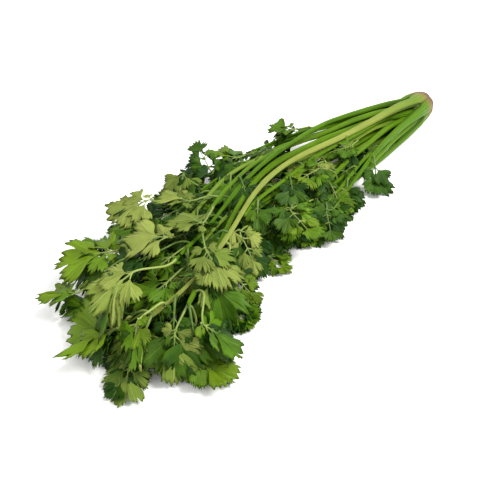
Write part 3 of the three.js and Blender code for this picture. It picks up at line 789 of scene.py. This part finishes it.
# ---------------------------------------------------------------------------------------------
# Leaves. Each leaves its stalk as one thin stem that forks into wedge-shaped, lobed and toothed
# leaflets. They are soft, thin and a little crumpled, deep green above, matt and pale olive
# below, with raised veins that fan out from the foot of the leaflet to its teeth.
# ---------------------------------------------------------------------------------------------
LEAFLET_COLUMNS = 81
LEAFLET_ROWS = 7
LEAFLET_THICKNESS = 0.00045
STEM_SIDES = 8
VEINS_EACH_SIDE = 5.6
TEETH = 7.2
TOOTH_DEPTH = 0.15
FAN_OPENING = 1.02  # half the angle of a leaflet's fan, in radians
MERGE_DISTANCE = 0.000012  # closes the upper and the under side along the margin
LAYER_EDGE = 0.1  # the upper side carries 1, the under side -1 and a stem 0
LEAF_HANG = 0.16  # how far a leaf's sides hang down
LOW_STEM, LOW_LEAFLET, LOW_SHOOT = 0.0016, 0.0025, 0.003  # least heights over the table
SPREAD = 0.97  # share of a packed leaf's length that its leaflets reach
END_LEAFLET_FOOT = 0.2  # where the leaflet at the end starts, as a share of the leaf's length
LEAF_STEM, SMALL_STEM, LEAFLET_STEM = (0.0011, 0.0005), (0.0010, 0.0004), (0.0006, 0.0004)


def fan_shape(fan, seed, cut):
    """How far the margin of a leaflet stands from its foot, for a place across its fan."""
    shifted = fan + (fan * 4.1 + seed * 37).use("SINE") * 0.06 + (seed * 91).use("SINE") * 0.07
    side = shifted.use("ABSOLUTE")

    def notch(middle, wide, deep):
        return (((side - middle) / wide) ** 2 * -1).use("EXPONENT") * deep

    cleft = notch(0.36, 0.045, cut * 0.75) + notch(0.36, 0.15, cut * 0.3)
    outer_notches = notch(0.74, 0.035, cut * 0.4)
    inner_notches = notch(0.13, 0.03, cut * 0.22)
    small = outer_notches + inner_notches + notch(0.56, 0.028, cut * 0.25)
    tooth = ((shifted * TEETH + seed * 17).use("FRACT") - 0.5).use("ABSOLUTE") * 2
    toothed = 1 - (tooth ** 1.25) * TOOTH_DEPTH * side.within(1.0, 0.78)
    slant = 1 + fan * (seed * 53).use("SINE") * 0.16
    round_off = 1 - fan * fan * 0.10 - (fan ** 10) * 0.30
    return round_off * slant * toothed * (1 - cleft - small)


def leaflet_tree():
    """Leaflets grown from points that carry their foot, curve and size, with their stems."""
    tree, given = new_tree("celery_leaf", ("Columns", "Int", LEAFLET_COLUMNS),
                           ("Rows", "Int", LEAFLET_ROWS), ("Stem Sides", "Int", STEM_SIDES),
                           ("Thickness", "Float", LEAFLET_THICKNESS),
                           ("Upper", "Material", None), ("Under", "Material", None),
                           ("Stem", "Material", None))
    is_leaflet = named(tree, "is_leaflet").use("GREATER_THAN", 0.5)
    seed_points = place(tree, "GeometryNodeSeparateGeometry", 0,
                        {"Geometry": given["Geometry"], "Selection": is_leaflet}, domain="POINT")
    stem_lines = Term(tree, seed_points.socket.node.outputs[1])
    sheet = place(tree, "GeometryNodeMeshGrid", "Mesh",
                  {"Size X": 2.0, "Size Y": 1.0, "Vertices X": given["Columns"],
                   "Vertices Y": given["Rows"]})
    at = place(tree, "GeometryNodeInputPosition")
    sheet = store(tree, sheet, "fan", at.part("X"))
    sheet = store(tree, sheet, "reach", at.part("Y") + 0.5)
    above = store(tree, sheet, "layer", 1.0)
    below = store(tree, place(tree, "GeometryNodeFlipFaces", 0, {"Mesh": sheet}), "layer", -1.0)
    both = tree.nodes.new("GeometryNodeJoinGeometry")
    tree.links.new(below.socket, both.inputs[0])
    tree.links.new(above.socket, both.inputs[0])
    put = place(tree, "GeometryNodeInstanceOnPoints", 0,
                {"Points": seed_points, "Instance": Term(tree, both.outputs[0])})
    flat = place(tree, "GeometryNodeRealizeInstances", 0, {"Geometry": put})

    fan, reach, layer = (named(tree, n) for n in ("fan", "reach", "layer"))
    seed, cut, size = (named(tree, n) for n in ("seed", "cut", "size"))
    fold, wave, broad = (named(tree, n) for n in ("fold", "wave", "broad"))
    foot, middle, tip, side = (named(tree, n, "FLOAT_VECTOR")
                               for n in ("foot", "middle", "tip", "side"))
    margin = fan_shape(fan, seed, cut)
    opening = reach.within(0.0, 0.8, 0.60, FAN_OPENING)
    angle = fan * opening
    way = margin * reach ** 0.85
    x = angle.use("SINE") * way * broad
    y = angle.use("COSINE") * way
    one = 1 - y
    spine = foot * (one * one) + middle * (one * y * 2) + tip * (y * y)
    along = ((middle - foot) * one + (tip - middle) * y).use("NORMALIZE")
    up = side.use("CROSS_PRODUCT", along).use("NORMALIZE")
    crease = x.use("ABSOLUTE") * fold
    ripple = (fan * 7.5 + seed * 60).use("SINE") * wave * reach ** 2
    curl = (fan * 2.6 + seed * 29).use("SINE") * wave * 1.1 * reach ** 3
    crumple_place = vector(tree, x * 1.9, y * 1.9, seed * 40)
    crumple = (fine_noise(tree, crumple_place, 2.6, 2.0, 0.5) - 0.5) * wave * 2.2 * reach
    ribs = strong_veins(fan, reach)
    thick = given["Thickness"] * 0.5 * layer * reach.within(1.0, 0.88) * (1 - (fan ** 12))
    sunk_veins = ribs * size * 0.006 * reach.within(1.0, 0.8)
    height = (crease + ripple + curl + crumple) * size - sunk_veins
    spot = spine + side * (x * size) + up * (height + thick)
    floor = layer * 0.0003 + 0.0008
    spot = vector(tree, spot.part("X"), spot.part("Y"), spot.part("Z").use("MAXIMUM", floor))
    blades = place(tree, "GeometryNodeSetPosition", 0, {"Geometry": flat, "Position": spot})
    blades = place(tree, "GeometryNodeMergeByDistance", 0,
                   {"Geometry": blades, "Distance": MERGE_DISTANCE})
    blades = place(tree, "GeometryNodeSetShadeSmooth", 0, {"Geometry": blades})

    lines = place(tree, "GeometryNodeMeshToCurve", 0, {"Mesh": stem_lines})
    ring = place(tree, "GeometryNodeCurvePrimitiveCircle", 0,
                 {"Resolution": given["Stem Sides"], "Radius": 1.0})
    stems = place(tree, "GeometryNodeCurveToMesh", 0,
                  {"Curve": lines, "Profile Curve": ring, "Scale": named(tree, "thick"),
                   "Fill Caps": True})
    stems = place(tree, "GeometryNodeSetShadeSmooth", 0, {"Geometry": stems})
    whole = tree.nodes.new("GeometryNodeJoinGeometry")
    tree.links.new(stems.socket, whole.inputs[0])
    tree.links.new(blades.socket, whole.inputs[0])
    on_blade = layer.use("ABSOLUTE").use("GREATER_THAN", LAYER_EDGE)
    close_tree(tree, Term(tree, whole.outputs[0]), (1 - on_blade, given["Stem"]),
               (layer.use("GREATER_THAN", LAYER_EDGE), given["Upper"]),
               (layer.use("LESS_THAN", -LAYER_EDGE), given["Under"]))
    return tree


def strong_veins(fan, reach):
    """1 on the veins that lead to the lobes, and 0 away from them."""
    out = fan.use("ABSOLUTE")
    apart = (out - 0.60).use("ABSOLUTE").use("MINIMUM", out)
    return (apart / reach.within(0.0, 1.0, 0.09, 0.022, smooth=False)).within(1.0, 0.2)


def vein_lines(fan, reach):
    """1 on all the veins, which fan out from the foot to the teeth, and 0 between them."""
    forked = fan + (reach - 0.5) * 0.10 * fan.use("SIGN")
    branch = ((forked * VEINS_EACH_SIDE).use("FRACT") - 0.5).use("ABSOLUTE") * 2
    fine = branch.within(0.90, 1.0) * reach.within(0.15, 0.5, 0.0, 0.55)
    return strong_veins(fan, reach).use("MAXIMUM", fine)


def vein_group():
    """The vein pattern that both sides of a leaf share, with the net between the veins."""
    group = bpy.data.node_groups.new("leaf_veins", "ShaderNodeTree")
    for label in ("Fan", "Reach"):
        group.interface.new_socket(label, in_out="INPUT", socket_type="NodeSocketFloat")
    group.interface.new_socket("Place", in_out="INPUT", socket_type="NodeSocketVector")
    for label in ("Veins", "Net", "Cloud", "Patch"):
        group.interface.new_socket(label, in_out="OUTPUT", socket_type="NodeSocketFloat")
    given = group.nodes.new("NodeGroupInput")
    leave = group.nodes.new("NodeGroupOutput")
    fan, reach, where = (Term(group, given.outputs[n]) for n in ("Fan", "Reach", "Place"))
    net = place(group, "ShaderNodeTexVoronoi", "Distance", {"Vector": where, "Scale": 620.0},
                feature="DISTANCE_TO_EDGE")
    feed(group, leave.inputs["Veins"], vein_lines(fan, reach))
    feed(group, leave.inputs["Net"], net.within(0.0, 0.16, 1.0, 0.0))
    feed(group, leave.inputs["Cloud"], fine_noise(group, where, 95.0, 4.0, 0.6))
    feed(group, leave.inputs["Patch"], fine_noise(group, where, 34.0, 2.0, 0.5))
    return group


leaf_veins = vein_group()


def leaf_look(dark, bright, olive, vein, edge_tone, rough_low, rough_high, relief):
    """One side of a leaf, from its darkest to its brightest leaflets, with painted shade on the dark
    ones.
    """
    def look(tree):
        group = tree.nodes.new("ShaderNodeGroup")
        group.node_tree = leaf_veins
        where = object_place(tree)
        for label, value in (("Fan", attribute(tree, "fan")), ("Reach", attribute(tree, "reach")),
                             ("Place", where)):
            feed(tree, group.inputs[label], value)
        veins, net, cloud, patch = (Term(tree, group.outputs[n])
                                    for n in ("Veins", "Net", "Cloud", "Patch"))
        # shade: each leaflet's tone, partly its own colour and partly painted shade on the dark ones.
        shade = attribute(tree, "shade")
        mixed = (shade + (cloud - 0.5) * 0.5 + (patch - 0.5) * 0.8).within(0.0, 1.0, smooth=False)
        blade = blend_of(tree, mixed, dark, bright)
        turned = attribute(tree, "seed").within(0.4, 1.0, 0.0, 0.6) * shade.within(0.1, 0.6)
        blade = blend_of(tree, turned, blade, olive)
        netted = blend_of(tree, net * 0.12 * shade, blade, vein)
        veined = blend_of(tree, veins * (shade * 0.45 + 0.08), netted, vein)
        margin = attribute(tree, "reach").within(0.9, 1.0, 0.0, 0.35) * shade
        rimmed = blend_of(tree, margin, veined, edge_tone)
        rough = cloud.within(0.3, 0.7, rough_low, rough_high)
        return rimmed, rough, veins * relief + cloud * 0.25 - net * 0.12
    return look


leaf_upper = finish_of("leaf_upper", leaf_look(
    (0.008, 0.036, 0.0002), (0.102, 0.224, 0.0045), (0.105, 0.150, 0.004), (0.155, 0.245, 0.018),
    (0.120, 0.20, 0.010), 0.40, 0.56, -0.35), 0.5, rise=0.0004, Specular_IOR_Level=0.13)
leaf_under = finish_of("leaf_underside", leaf_look(
    (0.022, 0.062, 0.002), (0.250, 0.294, 0.064), (0.105, 0.175, 0.016), (0.32, 0.36, 0.11),
    (0.15, 0.21, 0.035), 0.62, 0.8, 0.6), 0.7, rise=0.0005, Specular_IOR_Level=0.06)


def stem_look(tree):
    where = object_place(tree)
    cloud = fine_noise(tree, where, 160.0, 3.0)
    # The stem takes its leaf's tone, so it carries the same painted shade as the leaf.
    lit = (attribute(tree, "shade") + (cloud - 0.5) * 0.6).within(-0.1, 0.8, smooth=False)
    green = blend_of(tree, lit, (0.030, 0.085, 0.004), (0.23, 0.29, 0.065))
    return green, None, cloud


stem_skin = finish_of("leaf_stem_skin", stem_look, 0.45, rise=0.0003, Specular_IOR_Level=0.25)
leaf_growth = leaflet_tree()

VECTORS = ("foot", "middle", "tip", "side")
NUMBERS = ("is_leaflet", "seed", "cut", "size", "fold", "wave", "broad", "shade", "thick")


class Seeds:
    """The points from which the leaves of one piece grow: stem lines, and one for each leaflet."""

    def __init__(self, name):
        self.name, self.points, self.edges = name, [], []
        self.values = {n: [] for n in VECTORS + NUMBERS}

    def add_point(self, where, **given):
        self.points.append(where)
        for name in VECTORS:
            self.values[name].append(given.get(name, np.zeros(3)))
        for name in NUMBERS:
            self.values[name].append(given.get(name, 0.0))
        return len(self.points) - 1

    def add_stem(self, line, thick, shade):
        """A stem along a line, with its radius at the start and at the end."""
        line = smooth_through(np.array(line), np.linspace(0, 1, 4 * len(line)))
        before = None
        for count, where in enumerate(line):
            share = count / (len(line) - 1)
            where[2] = max(where[2], LOW_STEM)
            index = self.add_point(where, thick=thick[0] + (thick[1] - thick[0]) * share, shade=shade)
            if before is not None:
                self.edges.append((before, index))
            before = index

    def make(self, columns=LEAFLET_COLUMNS, rows=LEAFLET_ROWS):
        """The leaves that grow from these points, as one piece."""
        mesh = bpy.data.meshes.new(self.name)
        mesh.from_pydata([tuple(p) for p in self.points], self.edges, [])
        for name in VECTORS + NUMBERS:
            carry(mesh, name, self.values[name])
        return grown(new_object(self.name, mesh), leaf_growth, Columns=columns, Rows=rows,
                     Upper=leaf_upper, Under=leaf_under, Stem=stem_skin)


class Leaf:
    """One leaf: its stem, and the surface on which its leaflets lie."""

    def __init__(self, seeds, stem, blade):
        self.seeds, self.stem = seeds, stem
        self.middles = np.array([r[0] for r in blade])
        self.ups = np.array([r[1] for r in blade])
        self.sides = np.array([r[2] for r in blade])
        self.half = max(r[3] for r in blade)
        steps = np.linalg.norm(np.diff(self.middles, axis=0), axis=1)
        self.length = float(steps.sum())
        self.shares = np.concatenate([[0], np.cumsum(steps)]) / self.length

    @classmethod
    def packed(cls, seeds, node):
        """The leaf that stands for a packed leaf node."""
        rings, first_pole, last_pole = rings_of(node)
        if np.ptp(rings[1], axis=0).max() > np.ptp(rings[-2], axis=0).max():
            rings, first_pole, last_pole = rings[::-1], last_pole, first_pole
        rows = [cls.frame_at(rings, i) for i in range(len(rings))]
        stem = [first_pole] + [r[0] for r in rows[:4]]
        return cls(seeds, stem, rows[4:] + [(last_pole, rows[-1][1], rows[-1][2], 0.0)])

    def join_to(self, line):
        """Starts the stem inside its stalk, a little nearer the root than where it leaves it."""
        near = int(np.argmin(np.linalg.norm(line[:, PLACE] - self.stem[0], axis=1)))
        parting, before = line[near, PLACE], line[max(0, near - 2), PLACE]
        self.stem = [before, (parting * 2 + self.stem[0]) / 3] + self.stem[1:]

    def shrink(self, share):
        """Draws the leaflets in towards the stem."""
        self.middles = self.middles[0] + (self.middles - self.middles[0]) * share
        self.length *= share
        self.half *= share

    @classmethod
    def shoot(cls, seeds, start, heading, fall, stem, length):
        """A small leaf on a stem of its own, from a place on a stalk."""
        level = np.array([math.cos(heading), math.sin(heading), 0.0])
        sky = np.array([0, 0, 1.0])
        side = np.array([level[1], -level[0], 0.0])
        base = start + level * stem + sky * (stem * 0.25 - fall * stem * 0.5)
        line = [start, start + level * stem * 0.4 + sky * stem * 0.22, base]
        blade = []
        for share in (0.0, 0.25, 0.5, 0.75, 1.0):
            drop = fall * share + 0.35 * share * share
            spot = base + level * length * share - sky * length * drop
            spot[2] = max(spot[2], LOW_SHOOT)
            blade.append((spot, unit(sky + level * (fall + 0.7 * share)), side, length * 0.5))
        return cls(seeds, line, blade)

    @staticmethod
    def frame_at(rings, i):
        """Middle, upward side, right-hand side and half width of a ring of a packed leaf."""
        ring = rings[i]
        middle = ring.mean(0)
        along = unit(rings[min(i + 1, len(rings) - 1)].mean(0) - rings[max(i - 1, 0)].mean(0))
        gaps = np.linalg.norm(ring[:, None] - ring[None], axis=2)
        a, b = np.unravel_index(gaps.argmax(), gaps.shape)
        across = unit(ring[b] - ring[a])
        normal = unit(np.cross(along, across))
        rest = [k for k in range(8) if k not in (a, b)]
        heights = (ring[rest] - middle) @ normal
        order = np.argsort(heights)
        spread = (ring[rest] - middle) @ across
        low, high = spread[order[:3]], spread[order[3:]]
        if np.ptp(high) < np.ptp(low):
            normal = -normal
        side = unit(np.cross(along, normal))
        return middle, normal, side, float(gaps.max()) / 2

    def at(self, share, offset=0.0):
        """A place on the leaf at a share of its length and an offset to its right, in metres."""
        def of(rows):
            return np.array([np.interp(share, self.shares, rows[:, k]) for k in range(3)])
        up, side = unit(of(self.ups)), unit(of(self.sides))
        middle = of(self.middles)
        if share > 1 or share < 0:
            first, last = (-3, -1) if share > 1 else (0, 1)
            onward = unit(self.middles[last] - self.middles[first])
            middle = middle + onward * (share - min(1, max(0, share))) * self.length
        hang = LEAF_HANG * offset * offset / max(self.half, 1e-4)
        return middle + side * offset - np.array([0, 0, hang]), up

    def add_leaflet(self, base, tip, width, shade, cut, from_share=None, roll=0.0, droop=0.0,
                    lift=0.0, fold=0.1, wave=0.05, turned=False):
        """A leaflet from base to tip, both (share, offset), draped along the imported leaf."""
        foot, _ = self.at(*base)
        end, _ = self.at(*tip)
        half_way, up = self.at((base[0] + tip[0]) / 2, (base[1] + tip[1]) / 2)
        size = float(np.linalg.norm(end - foot))
        sky = np.array([0, 0, 1.0])
        end = end + sky * (lift - droop * size)
        half_way = half_way + sky * lift * 0.8
        middle = 2 * half_way - (foot + end) / 2
        side = unit(np.cross(end - foot, up))
        side = unit(side * math.cos(roll) + up * math.sin(roll)) * (-1 if turned else 1)
        for spot in (middle, end):
            spot[2] = max(spot[2], LOW_LEAFLET)
        self.seeds.add_point(foot, is_leaflet=1.0, foot=foot, middle=middle, tip=end, side=side,
                             size=size, seed=chance.random(), cut=cut, fold=fold, wave=wave,
                             broad=width, shade=shade)
        if from_share is not None:
            start, _ = self.at(from_share, 0.0)
            bend, _ = self.at((from_share + base[0]) / 2, base[1] * 0.35)
            self.seeds.add_stem([start, bend, foot + (middle - foot) * 0.04], LEAFLET_STEM, shade)


def add_stem_up_to(leaf, shares, thick, tone):
    """The stem of a leaf, carried on into its blade through the given shares of its length."""
    leaf.seeds.add_stem(leaf.stem + [leaf.at(share)[0] for share in shares], thick, tone)


def add_hidden(leaf, count, low_shape, latest, furthest, outs, widths, underside_up):
    """Leaflets that hang under the others and fill the gaps between them, made darker as painted shade.
    """
    jitter = chance.uniform
    for number in range(count):
        turn = 1 if number % 2 else -1
        low = low_shape()
        start = jitter(0.0, latest)
        foot = (start, turn * 0.2 * leaf.half)
        tip = (start + jitter(0.05, furthest), turn * jitter(*outs) * leaf.half)
        leaf.add_leaflet(foot, tip, jitter(*widths), from_share=max(0, start - 0.1),
                         roll=jitter(-0.5, 0.5), droop=jitter(0.1, 0.5), turned=underside_up, **low)


def fill_small(leaf, tone, hidden, underside_up=False):
    """A leaf with pairs of smaller leaflets along its stem, and one at the end."""
    add_stem_up_to(leaf, (0.02, 0.3, 0.62), SMALL_STEM, tone)
    half, jitter = leaf.half, chance.uniform

    def shape():
        return {"shade": tone + jitter(-0.28, 0.3), "cut": jitter(0.15, 0.5),
                "fold": jitter(-0.1, 0.35), "wave": jitter(0.06, 0.13), "lift": jitter(-0.002, 0.003)}

    # The hidden leaflets get a low tone: painted shade under the leaflets above them.
    def low_shape():
        return shape() | {"shade": tone * 0.3 - 0.12, "lift": jitter(-0.012, -0.004)}

    leaf.add_leaflet((0.6, 0), (0.99, jitter(-0.2, 0.2) * half), jitter(0.95, 1.12), **shape())
    for start, reach, out in ((0.42, 0.30, 0.66), (0.18, 0.26, 0.84), (-0.02, 0.2, 0.7)):
        for turn in (-1, 1):
            leaf.add_leaflet((start, turn * 0.28 * out * half),
                             (start + reach * jitter(0.5, 1.3), turn * out * jitter(0.85, 1.1) * half),
                             jitter(0.9, 1.1), from_share=start - 0.05, roll=jitter(-0.45, 0.45),
                             droop=jitter(0.0, 0.3), **shape())
    add_hidden(leaf, hidden, low_shape, 0.6, 0.4, (0.5, 1.0), (0.9, 1.1), underside_up)


def fill_leaf(leaf, tone, hidden, underside_up=False):
    """A leaf with one leaflet at the end, a pair below it and at times a second pair."""
    add_stem_up_to(leaf, (0.02, 0.16, 0.32), LEAF_STEM, tone)
    half, jitter = leaf.half, chance.uniform

    def shape(lift=0.0):
        return {"shade": tone + jitter(-0.18, 0.18), "cut": jitter(0.14, 0.42),
                "fold": jitter(-0.08, 0.34), "wave": jitter(0.05, 0.11), "lift": lift}

    # The hidden leaflets get a low tone: painted shade under the leaflets above them.
    def low_shape():
        return shape(jitter(-0.011, -0.003)) | {"shade": tone * 0.4 - 0.15}

    leaf.add_leaflet((END_LEAFLET_FOOT, 0), (0.97, jitter(-0.15, 0.15) * half), jitter(0.95, 1.12),
                     roll=jitter(-0.25, 0.25), **shape())
    for turn in (-1, 1):
        tip = (jitter(0.32, 0.54), turn * jitter(0.74, 0.9) * half)
        leaf.add_leaflet((0.12, turn * 0.15 * half), tip, jitter(0.8, 1.0), from_share=0.04,
                         roll=turn * jitter(-0.3, 0.3), droop=jitter(0.0, 0.2),
                         **shape(jitter(-0.001, 0.002)))
        if chance.random() < 0.6:
            tip = (jitter(-0.12, 0.1), turn * jitter(0.45, 0.68) * half)
            leaf.add_leaflet((-0.02, turn * 0.06 * half), tip, jitter(0.75, 0.95), from_share=-0.05,
                             roll=turn * jitter(-0.35, 0.35), droop=jitter(0.0, 0.35),
                             **shape(jitter(-0.003, 0.001)))
    add_hidden(leaf, hidden, low_shape, 0.5, 0.45, (0.45, 0.85), (0.85, 1.05), underside_up)


def stalk_of(node):
    """The stalk that bears a leaf, from the leaf's name."""
    whorl, number = node.split("_")[:2]
    return "heart_stalk" if whorl == "heart" else f"{whorl}_stalk_{number}"


SMALL_LEAFLETS = ("inner_4", "heart", "outer_6", "outer_7", "outer_5_side", "outer_2_side_leaf_3",
                  "outer_3_side_leaf_3", "outer_3_side_leaf_4", "outer_3_side_leaf_5")
FRONT_LEAVES = ("inner_5", "outer_1", "outer_5_tip", "outer_5_side", "outer_2_side_leaf_2")
LEAF_REACH = {  # how far the leaflets spread, as a share of the whole leaf
    "outer_5_side_leaf_2": 0.76, "outer_5_side_leaf_3": 0.74, "outer_7_side_leaf_1": 0.72,
    "outer_7_tip_leaf": 0.85, "heart_tip_leaf": 0.86, "inner_4_tip_leaf": 0.82,
    "inner_4_side_leaf_1": 0.82, "inner_5_side_leaf_1": 0.86, "inner_5_side_leaf_2": 0.9,
    "inner_2_side_leaf_1": 0.74, "inner_2_tip_leaf": 0.8, "outer_1_side_leaf_3": 0.86,
    "outer_1_tip_leaf": 0.92, "outer_6_tip_leaf": 0.85,
}
FRONT_HIDDEN, OTHER_HIDDEN = 5, 3  # leaflets painted darker as shade, under a front leaf and under another
UNDERSIDE_TONE, UPPER_TONE = 0.42, 0.5
LEAF_TONES = {  # how light a leaf is where it differs from these: partly its own colour, partly painted shade on the dark ones
    "outer_2_tip_leaf": 0.95, "outer_1_tip_leaf": 0.7, "outer_1_side_leaf_2": 0.75,
    "outer_4_tip_leaf": 0.62, "outer_7_side_leaf_1": 0.75, "outer_1_side_leaf_4": 0.1,
    "outer_2_side_leaf_1": 0.05, "outer_2_side_leaf_3": 0.1, "outer_3_side_leaf_3": 0.1,
    "inner_4_tip_leaf": 0.1, "outer_7_tip_leaf": 0.1, "outer_3_tip_leaf": 0.35,
    "inner_5_tip_leaf": 0.45, "outer_1_side_leaf_3": 0.3, "inner_3_tip_leaf": 0.6,
    "heart_tip_leaf": 0.7, "outer_4_side_leaf_2": 0.7, "outer_5_side_leaf_3": 0.6,
}


def grow_leaf(node):
    """The leaf that takes the place of a packed leaf."""
    seeds = Seeds(node + "_blade")
    leaf = Leaf.packed(seeds, node)
    leaf.join_to(line_of[stalk_of(node)])
    leaf.shrink(LEAF_REACH.get(node, SPREAD))
    underside_up = leaf.ups[3][2] < 0
    fill = fill_small if node.startswith(SMALL_LEAFLETS) else fill_leaf
    hidden = FRONT_HIDDEN if node.startswith(FRONT_LEAVES) else OTHER_HIDDEN
    tone = LEAF_TONES.get(node, UNDERSIDE_TONE if underside_up else UPPER_TONE)
    fill(leaf, tone, hidden, underside_up)
    blade = seeds.make()
    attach(blade, "root")
    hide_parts(node)


for leaf_node in sorted(n for n in frame["nodes"] if n.endswith("_leaf") or "_side_leaf_" in n):
    grow_leaf(leaf_node)


# ---------------------------------------------------------------------------------------------
# Small leaves, thin and soft as the others but with fewer leaflets. The young stalks end in
# them, and the grown stalks bear a few on short stems, so that dark green shows between the
# stalks and under the front leaves. That dark green is painted shade.
# ---------------------------------------------------------------------------------------------
SHOOT_STALKS = {  # shares of each stalk's length that bear a small leaf
    "outer_stalk_5": (0.5, 0.58, 0.66, 0.74, 0.82, 0.9), "inner_stalk_3": (0.5, 0.6, 0.7, 0.8, 0.9),
    "heart_stalk": (0.55, 0.68, 0.8, 0.92), "inner_stalk_4": (0.6, 0.75, 0.9),
    "outer_stalk_4": (0.5, 0.62, 0.74, 0.86), "inner_stalk_2": (0.55, 0.68, 0.8),
    "inner_stalk_1": (0.62, 0.8), "outer_stalk_3": (0.5, 0.7, 0.88), "outer_stalk_6": (0.6, 0.85),
}
LOW_SHOOTS = {  # the same for those that hang down steeply towards the table
    "inner_stalk_5": (0.84, 0.9, 0.95, 0.99), "outer_stalk_1": (0.82, 0.87, 0.91, 0.95, 0.99),
    "outer_stalk_2": (0.9, 0.95), "outer_stalk_3": (0.62, 0.7, 0.78),
    "outer_stalk_4": (0.46, 0.52, 0.58, 0.65), "outer_stalk_7": (0.62, 0.7),
}
SMALL_LEAF_LENGTHS = (0.022, 0.032)
SMALL_LEAF_STEMS = (0.008, 0.016)
SMALL_LEAF_HEADINGS = (0.5, 1.2)  # radians away from the head's axis
SMALL_COLUMNS, SMALL_ROWS = 61, 6
YOUNG_SHARES = (0.66, 0.74, 0.83, 0.91, 0.99)
# Low tones: painted shade between the stalks and under the front leaves.
YOUNG_TONE, SHOOT_TONE, LOW_TONE = 0.12, 0.10, 0.06
GENTLE_FALLS, STEEP_FALLS = (0.15, 0.6), (0.8, 1.3)  # how far they droop for their length


def grow_shoots(name, stalk, shares, tone, falls):
    """The small leaves that one stalk bears, to its left and right in turn."""
    seeds = Seeds(name)
    line = line_of[stalk]
    for count, share in enumerate(shares):
        row = line[min(len(line) - 2, int(share * (len(line) - 1)))]
        turn = 1 if count % 2 else -1
        heading = turn * chance.uniform(*SMALL_LEAF_HEADINGS)
        leaf = Leaf.shoot(seeds, row[PLACE].copy(), heading, chance.uniform(*falls),
                          chance.uniform(*SMALL_LEAF_STEMS), chance.uniform(*SMALL_LEAF_LENGTHS))
        fill_leaf(leaf, tone + chance.uniform(-0.1, 0.15), 0)
    piece = seeds.make(SMALL_COLUMNS, SMALL_ROWS)
    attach(piece, "root")


for number in range(1, len(YOUNG_STALKS) + 1):
    young_name = f"young_stalk_{number}"
    grow_shoots(young_name + "_shoots", young_name, YOUNG_SHARES, YOUNG_TONE, GENTLE_FALLS)
for stalk_name, shares in SHOOT_STALKS.items():
    grow_shoots(stalk_name + "_shoots", stalk_name, shares, SHOOT_TONE, GENTLE_FALLS)
for stalk_name, shares in LOW_SHOOTS.items():
    grow_shoots(stalk_name + "_low_shoots", stalk_name, shares, LOW_TONE, STEEP_FALLS)


# ---------------------------------------------------------------------------------------------
# The table it lies on, the light and the camera. The table is a plain white sheet, lit softly
# from all round and a little more from above and behind, so that the shadows stay faint.
# ---------------------------------------------------------------------------------------------
TABLE = 12.0  # half its width
DAYLIGHT = 1.05
CAMERA_PLACE = (0.390, 0.272, 0.321)
CAMERA_HEADING = (-0.7725, -0.635)
CAMERA_FALL = math.radians(37.0)
CAMERA_LENS = 46.1


def sheet_look(tree):
    cloud = fine_noise(tree, object_place(tree), 3.0, 2.0)
    return blend_of(tree, cloud, (0.90, 0.895, 0.885), (0.93, 0.93, 0.925)), None, None


sheet_finish = finish_of("white_sheet", sheet_look, 0.7, Specular_IOR_Level=0.1)
table_corners = [(x * TABLE, y * TABLE, 0) for x, y in ((-1, -1), (1, -1), (1, 1), (-1, 1))]
table = mesh_of("table", table_corners, [(0, 1, 2, 3)], (sheet_finish,))

world = bpy.data.worlds.new("soft_room")
bpy.context.scene.world = world
world.use_nodes = True
room = world.node_tree.nodes["Background"]
room.inputs["Color"].default_value = (1.0, 1.0, 1.0, 1.0)
room.inputs["Strength"].default_value = DAYLIGHT


def soft_light(name, where, wide, power, tint=(1.0, 1.0, 1.0)):
    """A round lamp that faces the middle of the head."""
    light = bpy.data.lights.new(name, "AREA")
    light.shape = "DISK"
    light.size = wide
    light.energy = power
    light.color = tint
    lamp = new_object(name, light)
    lamp.location = where
    lamp.rotation_euler = (-Vector(where)).to_track_quat("-Z", "Y").to_euler()


soft_light("window", (-0.5, 0.9, 1.5), 0.8, 44.0, (1.0, 0.99, 0.96))
soft_light("fill", (1.1, -0.3, 1.0), 1.0, 5.0)

lens = bpy.data.cameras.new("camera")
lens.lens = CAMERA_LENS
lens.clip_start = 0.01
camera = new_object("camera", lens)
camera.location = CAMERA_PLACE
level = math.cos(CAMERA_FALL)
looking = Vector((CAMERA_HEADING[0] * level, CAMERA_HEADING[1] * level, -math.sin(CAMERA_FALL)))
camera.rotation_euler = looking.to_track_quat("-Z", "Y").to_euler()
bpy.context.scene.camera = camera
bpy.context.scene.view_settings.view_transform = "Standard"
